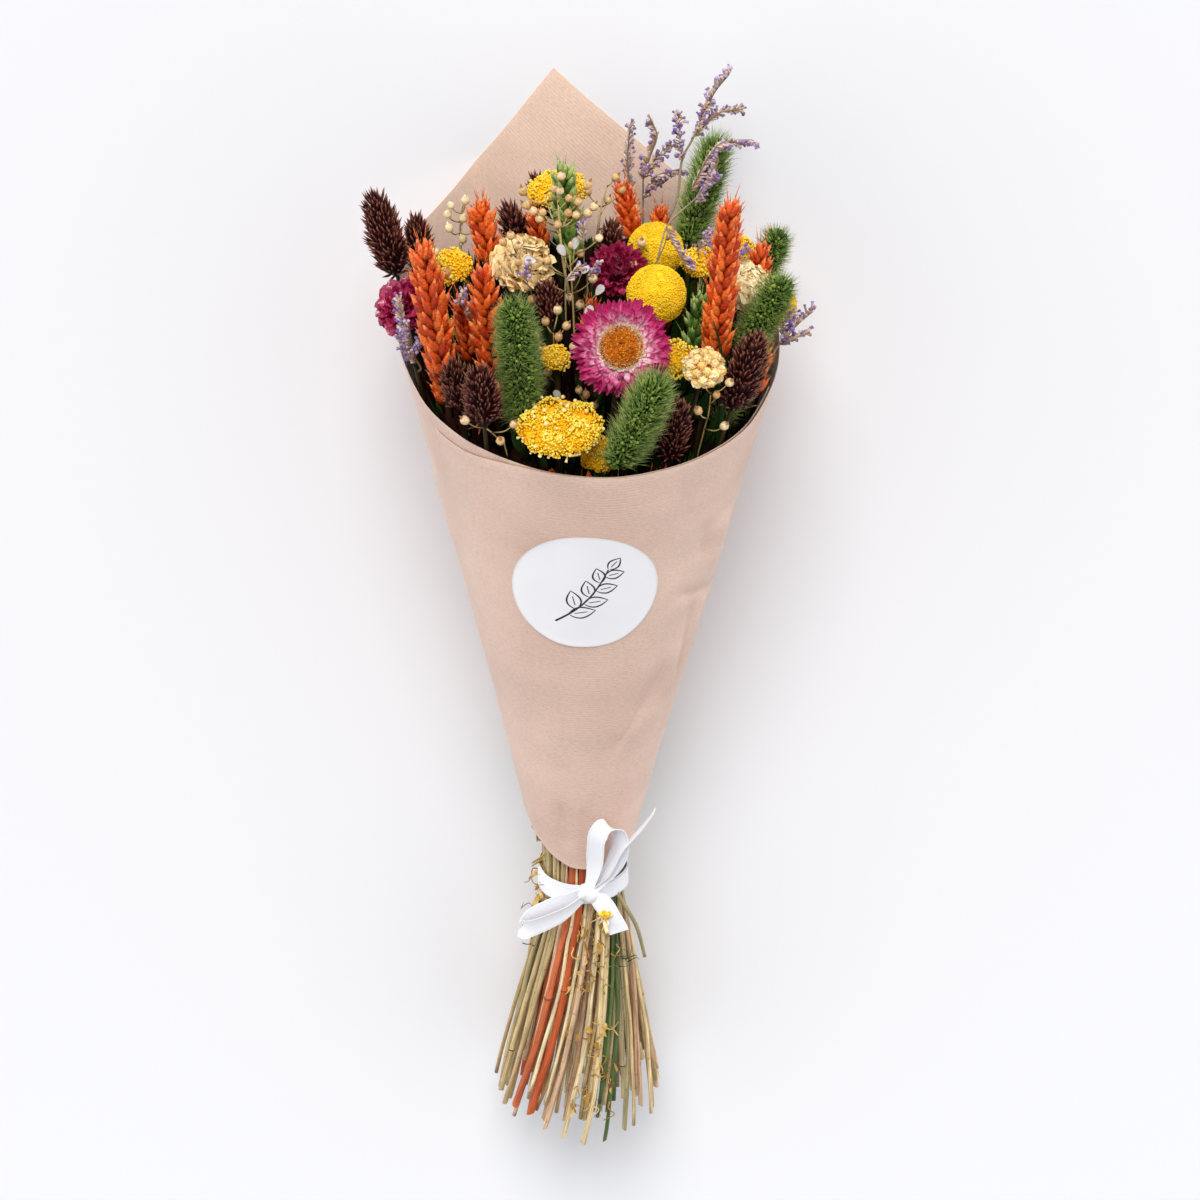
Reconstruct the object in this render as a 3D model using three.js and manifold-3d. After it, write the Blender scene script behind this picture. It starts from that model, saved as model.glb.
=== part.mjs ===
// A bunch of dried flowers and grasses in a rolled sheet of kraft paper, tied with a satin ribbon.
// Millimetres, +Z up. It lies on its back, heads towards +Y, with the bow and the sticker on top.
//
// Every shape is first worked out on the standing bunch: z runs along its axis from the cut ends
// to the heads, the front faces -y, and angles round the axis start at the back and turn over the
// right side. The last lines lay the whole bunch down.
import * as THREE from "three";
import { mergeVertices } from "three/addons/utils/BufferGeometryUtils.js";
import Module from "manifold-3d";

const wasm = await Module();
wasm.setup();

const DEG = Math.PI / 180;
const GAP = 0.35; // between two pieces that touch on the real bunch

// How it lies: the table's plane in the standing frame is y = REST_Y + z * tan(REST_ANGLE).
const REST_Y = 39;
const REST_ANGLE = 5.5 * DEG;

// The axis leans a little to the right on its way up.
const AXIS_X = -10;
const AXIS_LEAN = 0.0168;

// The paper cone flares from a narrow neck. Its peak is the sheet's corner.
const NECK_Z = 73;
const NECK_RADIUS = 14.8;
const HALF_ANGLE = 14.5 * DEG;
const PEAK_SLANT = 427;
const PEAK_TURN = -10 * DEG;
const PAPER_THICK = 0.8;
const TURN_PITCH = 1.2; // how far the roll grows in one turn
const ROLL_INSIDE = 248 * DEG; // from the peak to the inner free edge
const ROLL_OUTSIDE = 248 * DEG; // from the peak to the outer free corner
const ROLL_TUCK = 150 * DEG; // how much further the outer free edge runs round at the bottom
const TUCK_CURVE = 1.8; // how quickly that edge comes back on its way up
const CORNER_DROP = 8; // the outer free corner hangs this much lower
const CORNER_SPAN = 45 * DEG; // the drop starts this far from the corner
const PAPER_BOTTOM = 136; // lowest point, at the front
const PAPER_BOTTOM_RISE = 38; // the back of the lower edge is this much higher

const STICKER_DIAMETER = 65;
const STICKER_THICK = 0.5;
const STICKER_Z = 302;
const STICKER_TURN = 181.5 * DEG;

// The stems, tied at the waist.
const WAIST_Z = 121;
const WAIST_HALF = 10; // the stems run straight this far above and below the waist
const BUNDLE_RADIUS = 17.6; // to the middles of the outer stems
const BUNDLE_FLARE = 0.18; // how fast the stems spread below the waist
const PAPER_CLEARANCE = 4.2; // from the paper to the middles of the outer stems
const SPIRAL_BELOW = 38 * DEG; // turn from the waist down to z = 0
const SPIRAL_ABOVE = 25 * DEG; // turn from the heads down to the waist
const RINGS = [
  { radius: 1, count: 24 },
  { radius: 0.73, count: 17 },
  { radius: 0.465, count: 11 },
  { radius: 0.2, count: 4 },
];
const LOWER_PAPER = 40; // above the waist, where the stems have settled inside the paper
const STEM_INTO_HEAD = 0.3; // share of the head's length
const CUT_Z = -6; // the longest stem's cut end
const CUT_SPREAD = 10; // the cut ends differ by this much in height
const STEM_RADIUS = {
  wheat_orange: { low: 2.2, neck: 1.3 },
  wheat_green: { low: 2.1, neck: 1.3 },
  canary_grass: { low: 2.1, neck: 1.1 },
  foxtail: { low: 2.1, neck: 1.1 },
  yarrow: { low: 2.2, neck: 1.6 },
  craspedia: { low: 2.1, neck: 1.2 },
  strawflower: { low: 2.1, neck: 1.3 },
  cream_flower: { low: 2.1, neck: 1.3 },
  statice: { low: 2.1, neck: 0.9 },
  flax: { low: 2.1, neck: 0.9 },
};

// How round the solids are.
const STEM_SIDES = 6;
const EAR_SIDES = 6;
const GRASS_SIDES = 7;
const DOME_SIDES = 9;
const DAISY_SIDES = 12;
const TWIG_SIDES = 5;
const BAND_SIDES = 24;

const RIBBON_WIDTH = 9.5;
const RIBBON_THICK = 0.8;
const BAND_RADIUS = 20.3;

const COLOURS = {
  kraft: 0xc9a68a,
  label: 0xf6f6f4,
  satin: 0xf8f8fb,
  wheat_orange: 0xd0531c,
  wheat_green: 0x5d8a4e,
  canary_grass: 0x3c2426,
  foxtail: 0x5f8f3a,
  yarrow: 0xe9ac14,
  craspedia: 0xe2c32c,
  strawflower: 0xb8326e,
  cream_flower: 0xe3cda0,
  statice: 0x9d8bbb,
  flax: 0xc9a36c,
};

// Each head: its middle x, y, z, its lean to the right and to the front in degrees, its length
// along its own axis and its width.
const HEADS = {
  wheat_orange: [
    [-71, -47, 431, -7, 8, 67, 15],
    [-69, -31, 392, -10, 6, 30, 9],
    [-48, -36, 420, -5, 6, 55, 14],
    [-50, 8, 443, -8, -1, 30, 13],
    [-58, -22, 410, -7, 5, 33, 9],
    [-27, 28, 433, -8, -5, 22, 9],
    [12, 40, 438, -12, -8, 28, 10],
    [27, 36, 431, -8, -6, 22, 9],
    [52, -36, 438, 4, 7, 82, 14],
    [69, 6, 426, 3, -1, 24, 11],
    [68.5, -24, 390, 10, 4, 26, 9],
    [-3, -10, 405, -1, 1, 28, 9],
  ],
  wheat_green: [
    [-14, 20, 446, -7, -3, 46, 13],
    [42, -20, 412, 8, 5, 30, 11],
  ],
  canary_grass: [
    [-93, 2, 444, -14, 0, 42, 17],
    [-79, 20, 430, -8, -3, 32, 14],
    [-61, -50, 396, -10, 12, 28, 14],
    [-50, -66, 399, -4, 11, 32, 17],
    [-38, 34, 434, -18, -6, 22, 14],
    [-27, 52, 439, -10, -9, 24, 12],
    [62, -52, 404, 16, 9, 42, 17],
    [32, -60, 380, 8, 12, 33, 14],
    [-22, -16, 420, -3, 3, 20, 12],
    [5, 26, 430, 4, -5, 20, 12],
  ],
  foxtail: [
    [-34, -55, 409, -5, 10, 64, 18],
    [17, -74, 390, 14, 14, 50, 18],
    [45, 30, 451, 13, -3, 50, 16],
    [71, -21, 416, 24, 5, 38, 16],
    [75, 28, 421, 16, -5, 24, 14],
    [60, -35, 388, 22, 8, 46, 10],
  ],
  yarrow: [
    [-64, -4, 430, -8, 20, 12, 19],
    [-17, -70, 385, -4, 12, 14, 36],
    [0, -56, 365, 8, 30, 12, 19],
    [-19, 40, 447, -4, 10, 10, 27],
    [43, 4, 428, 6, 20, 11, 17],
    [61, 20, 428, 8, 10, 9, 14],
    [31, -42, 404, 10, 35, 11, 18],
    [-19, -36, 402, -4, 30, 9, 13],
    [15, -50, 386, 4, 25, 8, 10],
    [-60, -10, 405, -8, 20, 9, 12],
  ],
  craspedia: [
    [24, 18, 428, 6, 10, 25, 25],
    [24.2, -18.4, 423.5, 6, 20, 26, 26],
    [76.6, -2.5, 411, 16, 10, 18, 18],
  ],
  strawflower: [
    [9, -52, 414, 4, 58, 14, 42],
    [8.2, 0, 428, 4, 45, 13, 25],
    [-87, -18, 420, -35, 35, 14, 25],
  ],
  cream_flower: [
    [-34, -4, 434, -6, 35, 16, 27],
    [63, -6, 425, 10, 35, 15, 22],
    [44, -56, 407, 8, 40, 12, 19],
  ],
  statice: [
    [33, 50, 461, 14, -7, 80, 20],
    [21, 55, 447, 0, -8, 50, 14],
    [80, -20, 406, 30, 6, 26, 10],
    [-82, -30, 406, -12, 8, 26, 10],
  ],
  flax: [
    [-12, -2, 438, -4, 2, 60, 24],
    [-62, 24, 436, -4, -5, 28, 16],
    [-2, 33, 438, -2, -7, 24, 12],
  ],
};

// The bow's strips: the points they follow from the knot, and which way their width points.
const KNOT = { x: -5.5, y: -24.5, z: 124.5, size: [9, 8, 9] };
const BOW = {
  upper_loop: {
    points: [
      [-5, -25, 127],
      [-3, -28, 140],
      [-2, -31, 151],
      [-1, -33, 160],
      [3, -34, 166],
      [8, -32, 163],
      [9, -30, 152],
      [5, -27, 139],
      [-2, -25, 128],
    ],
    across: [0.8, -0.6, 0],
  },
  lower_loop: {
    points: [
      [-7, -26, 123],
      [-16, -29, 116],
      [-25, -31, 112],
      [-33, -31, 109],
      [-37, -28.5, 108],
      [-33, -26, 112],
      [-24, -25.5, 117],
      [-15, -25, 121],
      [-7, -24, 125],
    ],
    across: [0.3, -0.15, 0.95],
  },
  lower_tail: {
    points: [
      [-4, -25, 123],
      [1, -27, 120],
      [5, -29, 115],
      [9, -31, 107],
    ],
    across: [0.75, -0.1, 0.65],
  },
  upper_tail: {
    points: [
      [-3, -24, 127],
      [5, -26, 137],
      [12, -30, 153],
      [20, -33, 166],
      [24, -34, 173],
    ],
    across: [0.2, 0.97, -0.1],
  },
};

function axisX(z) {
  return AXIS_X + AXIS_LEAN * z;
}

function restY(z) {
  return REST_Y + z * Math.tan(REST_ANGLE);
}

function paperRadius(z) {
  return Math.hypot(NECK_RADIUS, Math.tan(HALF_ANGLE) * (z - NECK_Z));
}

function bundleRadius(z) {
  const below = Math.max(0, WAIST_Z - WAIST_HALF - z);
  if (z < WAIST_Z) return BUNDLE_RADIUS + below * BUNDLE_FLARE;
  return Math.max(BUNDLE_RADIUS, paperRadius(z) - PAPER_CLEARANCE);
}

// The sheet's two upper edges are straight, so on the unrolled cone they are lines through the peak.
function rimZ(roll) {
  const turned = Math.abs(roll) * Math.sin(HALF_ANGLE);
  const slant = PEAK_SLANT / (Math.cos(turned) + Math.sin(turned));
  const past = THREE.MathUtils.smoothstep(roll, ROLL_OUTSIDE - CORNER_SPAN, ROLL_OUTSIDE);
  return NECK_Z + slant * Math.cos(HALF_ANGLE) - CORNER_DROP * past;
}

// A point of the paper: roll is the angle from the peak, rise runs from the lower edge to the rim,
// and out is the distance outwards from the middle of the paper's thickness.
function paperPoint(roll, rise, out) {
  const angle = roll + PEAK_TURN;
  const bottom = PAPER_BOTTOM + (PAPER_BOTTOM_RISE * (1 + Math.cos(angle))) / 2;
  const z = THREE.MathUtils.lerp(bottom, rimZ(roll), rise);
  const radius = paperRadius(z) + (TURN_PITCH * roll) / (2 * Math.PI) + out;
  const flat = restY(z) - PAPER_THICK / 2 + out;
  const y = Math.min(radius * Math.cos(angle), flat);
  return new THREE.Vector3(axisX(z) + radius * Math.sin(angle), y, z);
}

// A closed body between two grids of points that share their outline.
function closedSheet(columns, rows, pointAt, outer, inner) {
  const positions = [];
  for (const out of [outer, inner]) {
    for (let i = 0; i <= columns; i++) {
      for (let j = 0; j <= rows; j++) {
        positions.push(...pointAt(i / columns, j / rows, out).toArray());
      }
    }
  }
  const layer = (columns + 1) * (rows + 1);
  const at = (i, j, side) => side * layer + i * (rows + 1) + j;
  const faces = [];
  const quad = (a, b, c, d) => faces.push(a, b, c, a, c, d);
  for (let i = 0; i < columns; i++) {
    for (let j = 0; j < rows; j++) {
      quad(at(i, j, 0), at(i, j + 1, 0), at(i + 1, j + 1, 0), at(i + 1, j, 0));
      quad(at(i, j, 1), at(i + 1, j, 1), at(i + 1, j + 1, 1), at(i, j + 1, 1));
    }
    quad(at(i, 0, 0), at(i + 1, 0, 0), at(i + 1, 0, 1), at(i, 0, 1));
    quad(at(i + 1, rows, 0), at(i, rows, 0), at(i, rows, 1), at(i + 1, rows, 1));
  }
  for (let j = 0; j < rows; j++) {
    quad(at(0, j + 1, 0), at(0, j, 0), at(0, j, 1), at(0, j + 1, 1));
    quad(at(columns, j, 0), at(columns, j + 1, 0), at(columns, j + 1, 1), at(columns, j, 1));
  }
  const geometry = new THREE.BufferGeometry();
  geometry.setAttribute("position", new THREE.Float32BufferAttribute(positions, 3));
  geometry.setIndex(faces);
  return geometry;
}

function solid(geometry) {
  const bare = geometry.clone();
  bare.deleteAttribute("normal");
  bare.deleteAttribute("uv");
  const merged = mergeVertices(bare, 1e-4);
  return new wasm.Manifold(
    new wasm.Mesh({
      numProp: 3,
      vertProperties: new Float32Array(merged.attributes.position.array),
      triVerts: new Uint32Array(merged.index.array),
    }),
  );
}

// One body of all the geometries, which overlap each other.
function joined(geometries) {
  const { vertProperties, triVerts } = geometries
    .map(solid)
    .reduce((whole, next) => whole.add(next))
    .getMesh();
  const geometry = new THREE.BufferGeometry();
  geometry.setAttribute("position", new THREE.BufferAttribute(vertProperties, 3));
  geometry.setIndex(new THREE.BufferAttribute(triVerts, 1));
  return geometry;
}

function mesh(name, geometry, colour, roughness) {
  geometry.computeVertexNormals();
  const material = new THREE.MeshStandardMaterial({ color: colour, roughness, metalness: 0 });
  const piece = new THREE.Mesh(geometry, material);
  piece.name = name;
  return piece;
}

function kraftWrap() {
  const columns = 40;
  const rows = 8;
  const pointAt = (across, rise, out) => {
    const outerEdge = ROLL_OUTSIDE + ROLL_TUCK * (1 - rise) ** TUCK_CURVE;
    return paperPoint(THREE.MathUtils.lerp(-ROLL_INSIDE, outerEdge, across), rise, out);
  };
  const half = PAPER_THICK / 2;
  return mesh("kraft_wrap", closedSheet(columns, rows, pointAt, half, -half), COLOURS.kraft, 0.9);
}

// A disc bent round the front of the cone.
function sticker() {
  const roll = STICKER_TURN - PEAK_TURN;
  const paperOutside = PAPER_THICK / 2 + (TURN_PITCH * roll) / (2 * Math.PI);
  const reaches = [0, 0.35, 0.7, 1].map((share) => (share * STICKER_DIAMETER) / 2);
  const profile = [
    ...reaches.map((r) => new THREE.Vector2(r, 0)),
    ...reaches.reverse().map((r) => new THREE.Vector2(r, STICKER_THICK)),
  ];
  const rounded = new THREE.LatheGeometry(profile, 20);
  const place = rounded.attributes.position;
  for (let i = 0; i < place.count; i++) {
    const z = STICKER_Z + place.getZ(i) * Math.cos(HALF_ANGLE);
    const angle = STICKER_TURN + place.getX(i) / paperRadius(z);
    const radius = paperRadius(z) + paperOutside + 2 * GAP + place.getY(i);
    place.setXYZ(i, axisX(z) + radius * Math.sin(angle), radius * Math.cos(angle), z);
  }
  return mesh("sticker", joined([rounded]), COLOURS.label, 0.6);
}

// A flat strip that follows points, with its width along a fixed direction.
function strip({ points, across }) {
  const curve = new THREE.CatmullRomCurve3(points.map((p) => new THREE.Vector3(...p)));
  const side = new THREE.Vector3(...across).normalize();
  const steps = (points.length - 1) * 2;
  const pointAt = (along, width, out) => {
    const tangent = curve.getTangentAt(along);
    const normal = new THREE.Vector3().crossVectors(tangent, side).normalize();
    const wide = new THREE.Vector3().crossVectors(tangent, normal).normalize();
    return curve
      .getPointAt(along)
      .addScaledVector(wide, (width - 0.5) * RIBBON_WIDTH)
      .addScaledVector(normal, out);
  };
  return closedSheet(steps, 1, pointAt, RIBBON_THICK / 2, -RIBBON_THICK / 2);
}

function ribbon() {
  const inside = BAND_RADIUS;
  const outside = BAND_RADIUS + RIBBON_THICK;
  const low = WAIST_Z - RIBBON_WIDTH / 2;
  const high = WAIST_Z + RIBBON_WIDTH / 2;
  const profile = [
    [inside, low],
    [outside, low],
    [outside, high],
    [inside, high],
    [inside, low],
  ];
  const band = new THREE.LatheGeometry(
    profile.map(([r, z]) => new THREE.Vector2(r, z)),
    BAND_SIDES,
  );
  band.rotateX(Math.PI / 2);
  band.translate(axisX(WAIST_Z), 0, 0);
  const knot = new THREE.SphereGeometry(0.5, 8, 6);
  knot.scale(...KNOT.size);
  knot.translate(KNOT.x, KNOT.y, KNOT.z);
  const pieces = [knot, band, ...Object.values(BOW).map(strip)];
  return mesh("satin_ribbon", joined(pieces), COLOURS.satin, 0.35);
}

function direction(side, front) {
  return new THREE.Vector3(Math.tan(side * DEG), -Math.tan(front * DEG), 1).normalize();
}

// Where each stem crosses the waist: the outermost heads take the outer ring, and in each ring the
// stems keep the order of their heads round the axis.
function waistPlaces(stalks) {
  const byReach = [...stalks].sort((a, b) => b.reach - a.reach);
  let taken = 0;
  for (const ring of RINGS) {
    const members = byReach.slice(taken, taken + ring.count);
    taken += ring.count;
    members.sort((a, b) => a.angle - b.angle);
    const spacing = (2 * Math.PI) / members.length;
    const offset =
      members.reduce((sum, stalk, i) => sum + stalk.angle - i * spacing, 0) / members.length;
    members.forEach((stalk, i) => {
      stalk.waistAngle = offset + i * spacing + SPIRAL_ABOVE;
      stalk.waistReach = ring.radius;
    });
  }
}

function stemRadius({ radius, neck }, z) {
  const thinned = THREE.MathUtils.clamp((z - WAIST_Z) / (neck.z - WAIST_Z), 0, 1);
  return THREE.MathUtils.lerp(radius.low, radius.neck, thinned);
}

function stemPoint(stalk, z) {
  const neck = stalk.neck;
  let angle = stalk.waistAngle;
  let reach = stalk.waistReach;
  if (z < WAIST_Z) {
    angle += (SPIRAL_BELOW * (WAIST_Z - z)) / WAIST_Z;
  } else {
    const climb = (z - WAIST_Z) / (neck.z - WAIST_Z);
    const share = (climb + THREE.MathUtils.smoothstep(climb, 0, 1)) / 2;
    let turn = stalk.angle - stalk.waistAngle;
    turn -= 2 * Math.PI * Math.round(turn / (2 * Math.PI));
    angle += turn * share;
    reach = THREE.MathUtils.lerp(stalk.waistReach, stalk.reach, share);
  }
  const radius = reach * bundleRadius(z);
  const onTable = restY(z) - stemRadius(stalk, z);
  const lowest = z < PAPER_BOTTOM ? onTable : onTable - PAPER_THICK - GAP;
  const y = Math.min(radius * Math.cos(angle), lowest);
  return new THREE.Vector3(axisX(z) + radius * Math.sin(angle), y, z);
}

// A stem is straight round the waist and thins from there to the neck.
function stem(stalk) {
  const heights = [stalk.cutZ, WAIST_Z - WAIST_HALF, WAIST_Z + WAIST_HALF];
  const inPaper = WAIST_Z + LOWER_PAPER;
  for (let i = 0; i <= 3; i++) heights.push(THREE.MathUtils.lerp(inPaper, stalk.neck.z, i / 3));
  const centres = heights.map((z) => stemPoint(stalk, z));
  centres.push(stalk.neck.clone().addScaledVector(stalk.axis, stalk.stemInside));
  const last = centres.length - 1;
  const profile = centres.map(({ z }, i) => new THREE.Vector2(stemRadius(stalk, z), i));
  profile.unshift(new THREE.Vector2(0, 0));
  profile.push(new THREE.Vector2(0, last));
  const tube = new THREE.LatheGeometry(profile, STEM_SIDES);
  const place = tube.attributes.position;
  for (let i = 0; i < place.count; i++) {
    const centre = centres[Math.round(place.getY(i))];
    place.setXYZ(i, centre.x - place.getX(i), centre.y + place.getZ(i), centre.z);
  }
  return tube;
}

// A body of revolution round +z from a profile of [share of half width, share of length].
function turned(profile, width, length, sides) {
  const points = profile.map(([r, z]) => new THREE.Vector2((r * width) / 2, z * length));
  return new THREE.LatheGeometry(points, sides).rotateX(Math.PI / 2);
}

const EAR = [
  [0, 0],
  [0.65, 0.08],
  [1, 0.35],
  [0.8, 0.75],
  [0, 1],
];
const DOME = [
  [0, 0],
  [0.75, 0.3],
  [1, 0.6],
  [0.7, 0.92],
  [0, 1],
];
const DAISY = [
  [0, 0],
  [0.45, 0.1],
  [1, 0.5],
  [0.95, 0.62],
  [0.45, 0.9],
  [0, 1],
];
const POD_TWIG = [
  [0, 0],
  [0.3, 0],
  [0.25, 0.6],
  [1, 0.75],
  [0.9, 0.9],
  [0, 1],
];

// Twigs leave the upper stem one above the other, each further round.
const TWIG_LEAN = 38 * DEG;
const TWIG_TURN = 137.5 * DEG;
const TWIG_SPAN = 0.85; // share of the head's length
const STATICE = { spike: 5, twig: 5, twigs: 5 };
const FLAX = { spike: 4, twig: 6, twigs: 4 };

function twigs(stalk, profile, width, count) {
  const pieces = [];
  for (let i = 0; i < count; i++) {
    const share = (i + 0.5) / count;
    const length = stalk.width * (0.75 - 0.25 * share);
    const twig = turned(profile, width, length, TWIG_SIDES);
    twig.rotateX(-TWIG_LEAN).rotateZ(i * TWIG_TURN);
    twig.translate(0, 0, stalk.length * share * TWIG_SPAN);
    pieces.push(twig);
  }
  return pieces;
}

function sprig(stalk, profile, { spike, twig, twigs: count }) {
  return [turned(EAR, spike, stalk.length, TWIG_SIDES), ...twigs(stalk, profile, twig, count)];
}

const HEAD_SHAPES = {
  wheat_orange: (s) => [turned(EAR, s.width, s.length, EAR_SIDES)],
  wheat_green: (s) => [turned(EAR, s.width, s.length, EAR_SIDES)],
  canary_grass: (s) => [turned(EAR, s.width, s.length, GRASS_SIDES)],
  foxtail: (s) => [turned(EAR, s.width, s.length, GRASS_SIDES)],
  yarrow: (s) => [turned(DOME, s.width, s.length, DOME_SIDES)],
  craspedia: (s) => [new THREE.IcosahedronGeometry(s.width / 2, 1).translate(0, 0, s.length / 2)],
  strawflower: (s) => [turned(DAISY, s.width, s.length, DAISY_SIDES)],
  cream_flower: (s) => [turned(DOME, s.width, s.length, DOME_SIDES)],
  statice: (s) => sprig(s, EAR, STATICE),
  flax: (s) => sprig(s, POD_TWIG, FLAX),
};

function head(stalk) {
  const up = new THREE.Vector3(0, 0, 1);
  const turn = new THREE.Quaternion().setFromUnitVectors(up, stalk.axis);
  return HEAD_SHAPES[stalk.kind](stalk).map((shape) => {
    shape.applyQuaternion(turn);
    return shape.translate(...stalk.neck.toArray());
  });
}

function readStalks() {
  const stalks = [];
  for (const [kind, places] of Object.entries(HEADS)) {
    places.forEach(([x, y, z, side, front, length, width], i) => {
      const axis = direction(side, front);
      const neck = new THREE.Vector3(x, y, z).addScaledVector(axis, -length / 2);
      const fromAxis = new THREE.Vector2(neck.x - axisX(neck.z), neck.y);
      stalks.push({
        kind,
        name: `${kind}_${String(i + 1).padStart(2, "0")}`,
        axis,
        neck,
        length,
        width,
        angle: Math.atan2(fromAxis.x, fromAxis.y),
        reach: fromAxis.length() / bundleRadius(neck.z),
        radius: STEM_RADIUS[kind],
        stemInside: length * STEM_INTO_HEAD,
        cutZ: CUT_Z + (CUT_SPREAD * ((i * 7) % 5)) / 4,
      });
    });
  }
  waistPlaces(stalks);
  return stalks;
}

const standing = new THREE.Group();
standing.add(kraftWrap(), sticker(), ribbon());
for (const stalk of readStalks()) {
  const geometry = joined([stem(stalk), ...head(stalk)]);
  standing.add(mesh(stalk.name, geometry, COLOURS[stalk.kind], 0.8));
}

// Lying down: the back of the cone and the cut ends at the back rest on z = 0, and x = y = 0 is the
// middle of the box round the bunch.
standing.rotation.x = REST_ANGLE - Math.PI / 2;
standing.position.z = REST_Y * Math.cos(REST_ANGLE);
const bouquet = new THREE.Group();
bouquet.name = "dried_flower_bouquet";
bouquet.add(standing);
bouquet.updateMatrixWorld(true);
const middle = new THREE.Box3().setFromObject(bouquet).getCenter(new THREE.Vector3());
standing.position.x = -middle.x;
standing.position.y = -middle.y;

export default bouquet;
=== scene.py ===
"""The looks of a dried flower bouquet in a kraft paper cone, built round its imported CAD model.

As in the CAD source, every shape is worked out on the standing bunch, in millimetres: z runs along
its axis from the cut ends to the heads, the front faces -y, and angles round the axis start at the
back and turn over the right side. laid() turns a point of the standing bunch into the row frame.
"""

import math

import bpy
import numpy as np
from mathutils import Matrix


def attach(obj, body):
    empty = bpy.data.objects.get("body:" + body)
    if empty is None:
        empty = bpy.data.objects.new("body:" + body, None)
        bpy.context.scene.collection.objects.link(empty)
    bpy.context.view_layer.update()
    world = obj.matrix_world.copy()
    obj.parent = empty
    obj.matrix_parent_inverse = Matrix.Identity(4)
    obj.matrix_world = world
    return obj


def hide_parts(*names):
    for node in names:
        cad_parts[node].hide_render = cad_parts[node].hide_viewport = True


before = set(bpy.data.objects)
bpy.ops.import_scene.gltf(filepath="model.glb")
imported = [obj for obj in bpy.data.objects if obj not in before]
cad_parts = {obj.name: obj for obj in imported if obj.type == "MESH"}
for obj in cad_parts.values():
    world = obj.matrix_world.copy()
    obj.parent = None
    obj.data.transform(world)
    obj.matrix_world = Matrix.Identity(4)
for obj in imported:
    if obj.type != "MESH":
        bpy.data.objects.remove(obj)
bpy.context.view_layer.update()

MM = 0.001
TAU = 2 * math.pi
GOLDEN = math.radians(137.508)
UP = np.array([0, 0, 1])

# The photo's camera, and the light: how bright the room is overhead, at the sides and towards the
# heads, and the key light's strength, softness and direction.
PHOTO_EYE = (0, -1700.5, 1187.8)
PHOTO_LENS, PHOTO_SENSOR, PHOTO_TURN = 129, 36, math.radians(-23)
ROOM_TOP, ROOM_SIDES, ROOM_ENDS = 0.265, 1.26, 0.1
ROOM_COLOUR = (0.965, 0.972, 1.0, 1.0)
KEY_ENERGY, KEY_SPREAD, KEY_TURN = 2.24, math.radians(28), (math.radians(-48), math.radians(-4), 0)
FLOOR_HALF = 6

# The CAD's own measures

# How the bunch lies: the table's distance from the axis at z = 0, the axis's slope over the table,
# and where the standing bunch's origin comes in the row frame.
REST_Y = 39
REST_ANGLE = math.radians(5.5)
SHIFT = (7.46513, -245.23567, 38.82045)
AXIS_X, AXIS_LEAN = -10, 0.0168
# The paper cone: its rounded neck, its half angle, the distance from its point to the peak, the sheet's
# thickness and its rise over each turn, how far it is rolled, its free corner and its bottom edge.
NECK_Z, NECK_RADIUS = 73, 14.8
HALF_ANGLE = math.radians(14.5)
PEAK_SLANT, PEAK_TURN = 427, math.radians(-10)
PAPER_THICK, TURN_PITCH = 0.8, 1.2
ROLL_INSIDE = ROLL_OUTSIDE = math.radians(248)
ROLL_TUCK, TUCK_CURVE = math.radians(150), 1.8
CORNER_DROP, CORNER_SPAN = 8, math.radians(45)
PAPER_BOTTOM, PAPER_BOTTOM_RISE = 136, 38
STICKER_RADIUS, STICKER_Z, STICKER_TURN = 32.5, 302, math.radians(181.5)
# The stems: a waist under the ribbon, a spiral below and above it, rings round the middle (share of
# the radius, number of stems), the cut ends, and the gap to the paper.
WAIST_Z, WAIST_HALF = 121, 10
BUNDLE_RADIUS, BUNDLE_FLARE, PAPER_CLEARANCE = 17.6, 0.18, 4.2
SPIRAL_BELOW, SPIRAL_ABOVE = math.radians(38), math.radians(25)
RINGS = ((1, 24), (0.73, 17), (0.465, 11), (0.2, 4))
CUT_Z, CUT_SPREAD = -6, 10
GAP = 0.35
BAND_RADIUS, RIBBON_WIDTH, RIBBON_THICK = 20.3, 9.5, 0.32
# For each kind of plant, its slot and the radius of its stem at the waist and at the head.
KINDS = {
    "wheat_orange": ("dyed_wheat", 2.2, 1.3),
    "wheat_green": ("green_wheat", 2.1, 1.3),
    "canary_grass": ("dark_canary_grass", 2.1, 1.1),
    "foxtail": ("green_foxtail", 2.1, 1.1),
    "yarrow": ("yellow_yarrow", 2.2, 1.6),
    "craspedia": ("yellow_craspedia", 2.1, 1.2),
    "strawflower": ("pink_strawflower", 2.1, 1.3),
    "cream_flower": ("cream_flower", 2.1, 1.3),
    "statice": ("purple_statice", 2.1, 0.9),
    "flax": ("pale_flax", 2.1, 0.9),
}
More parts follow.
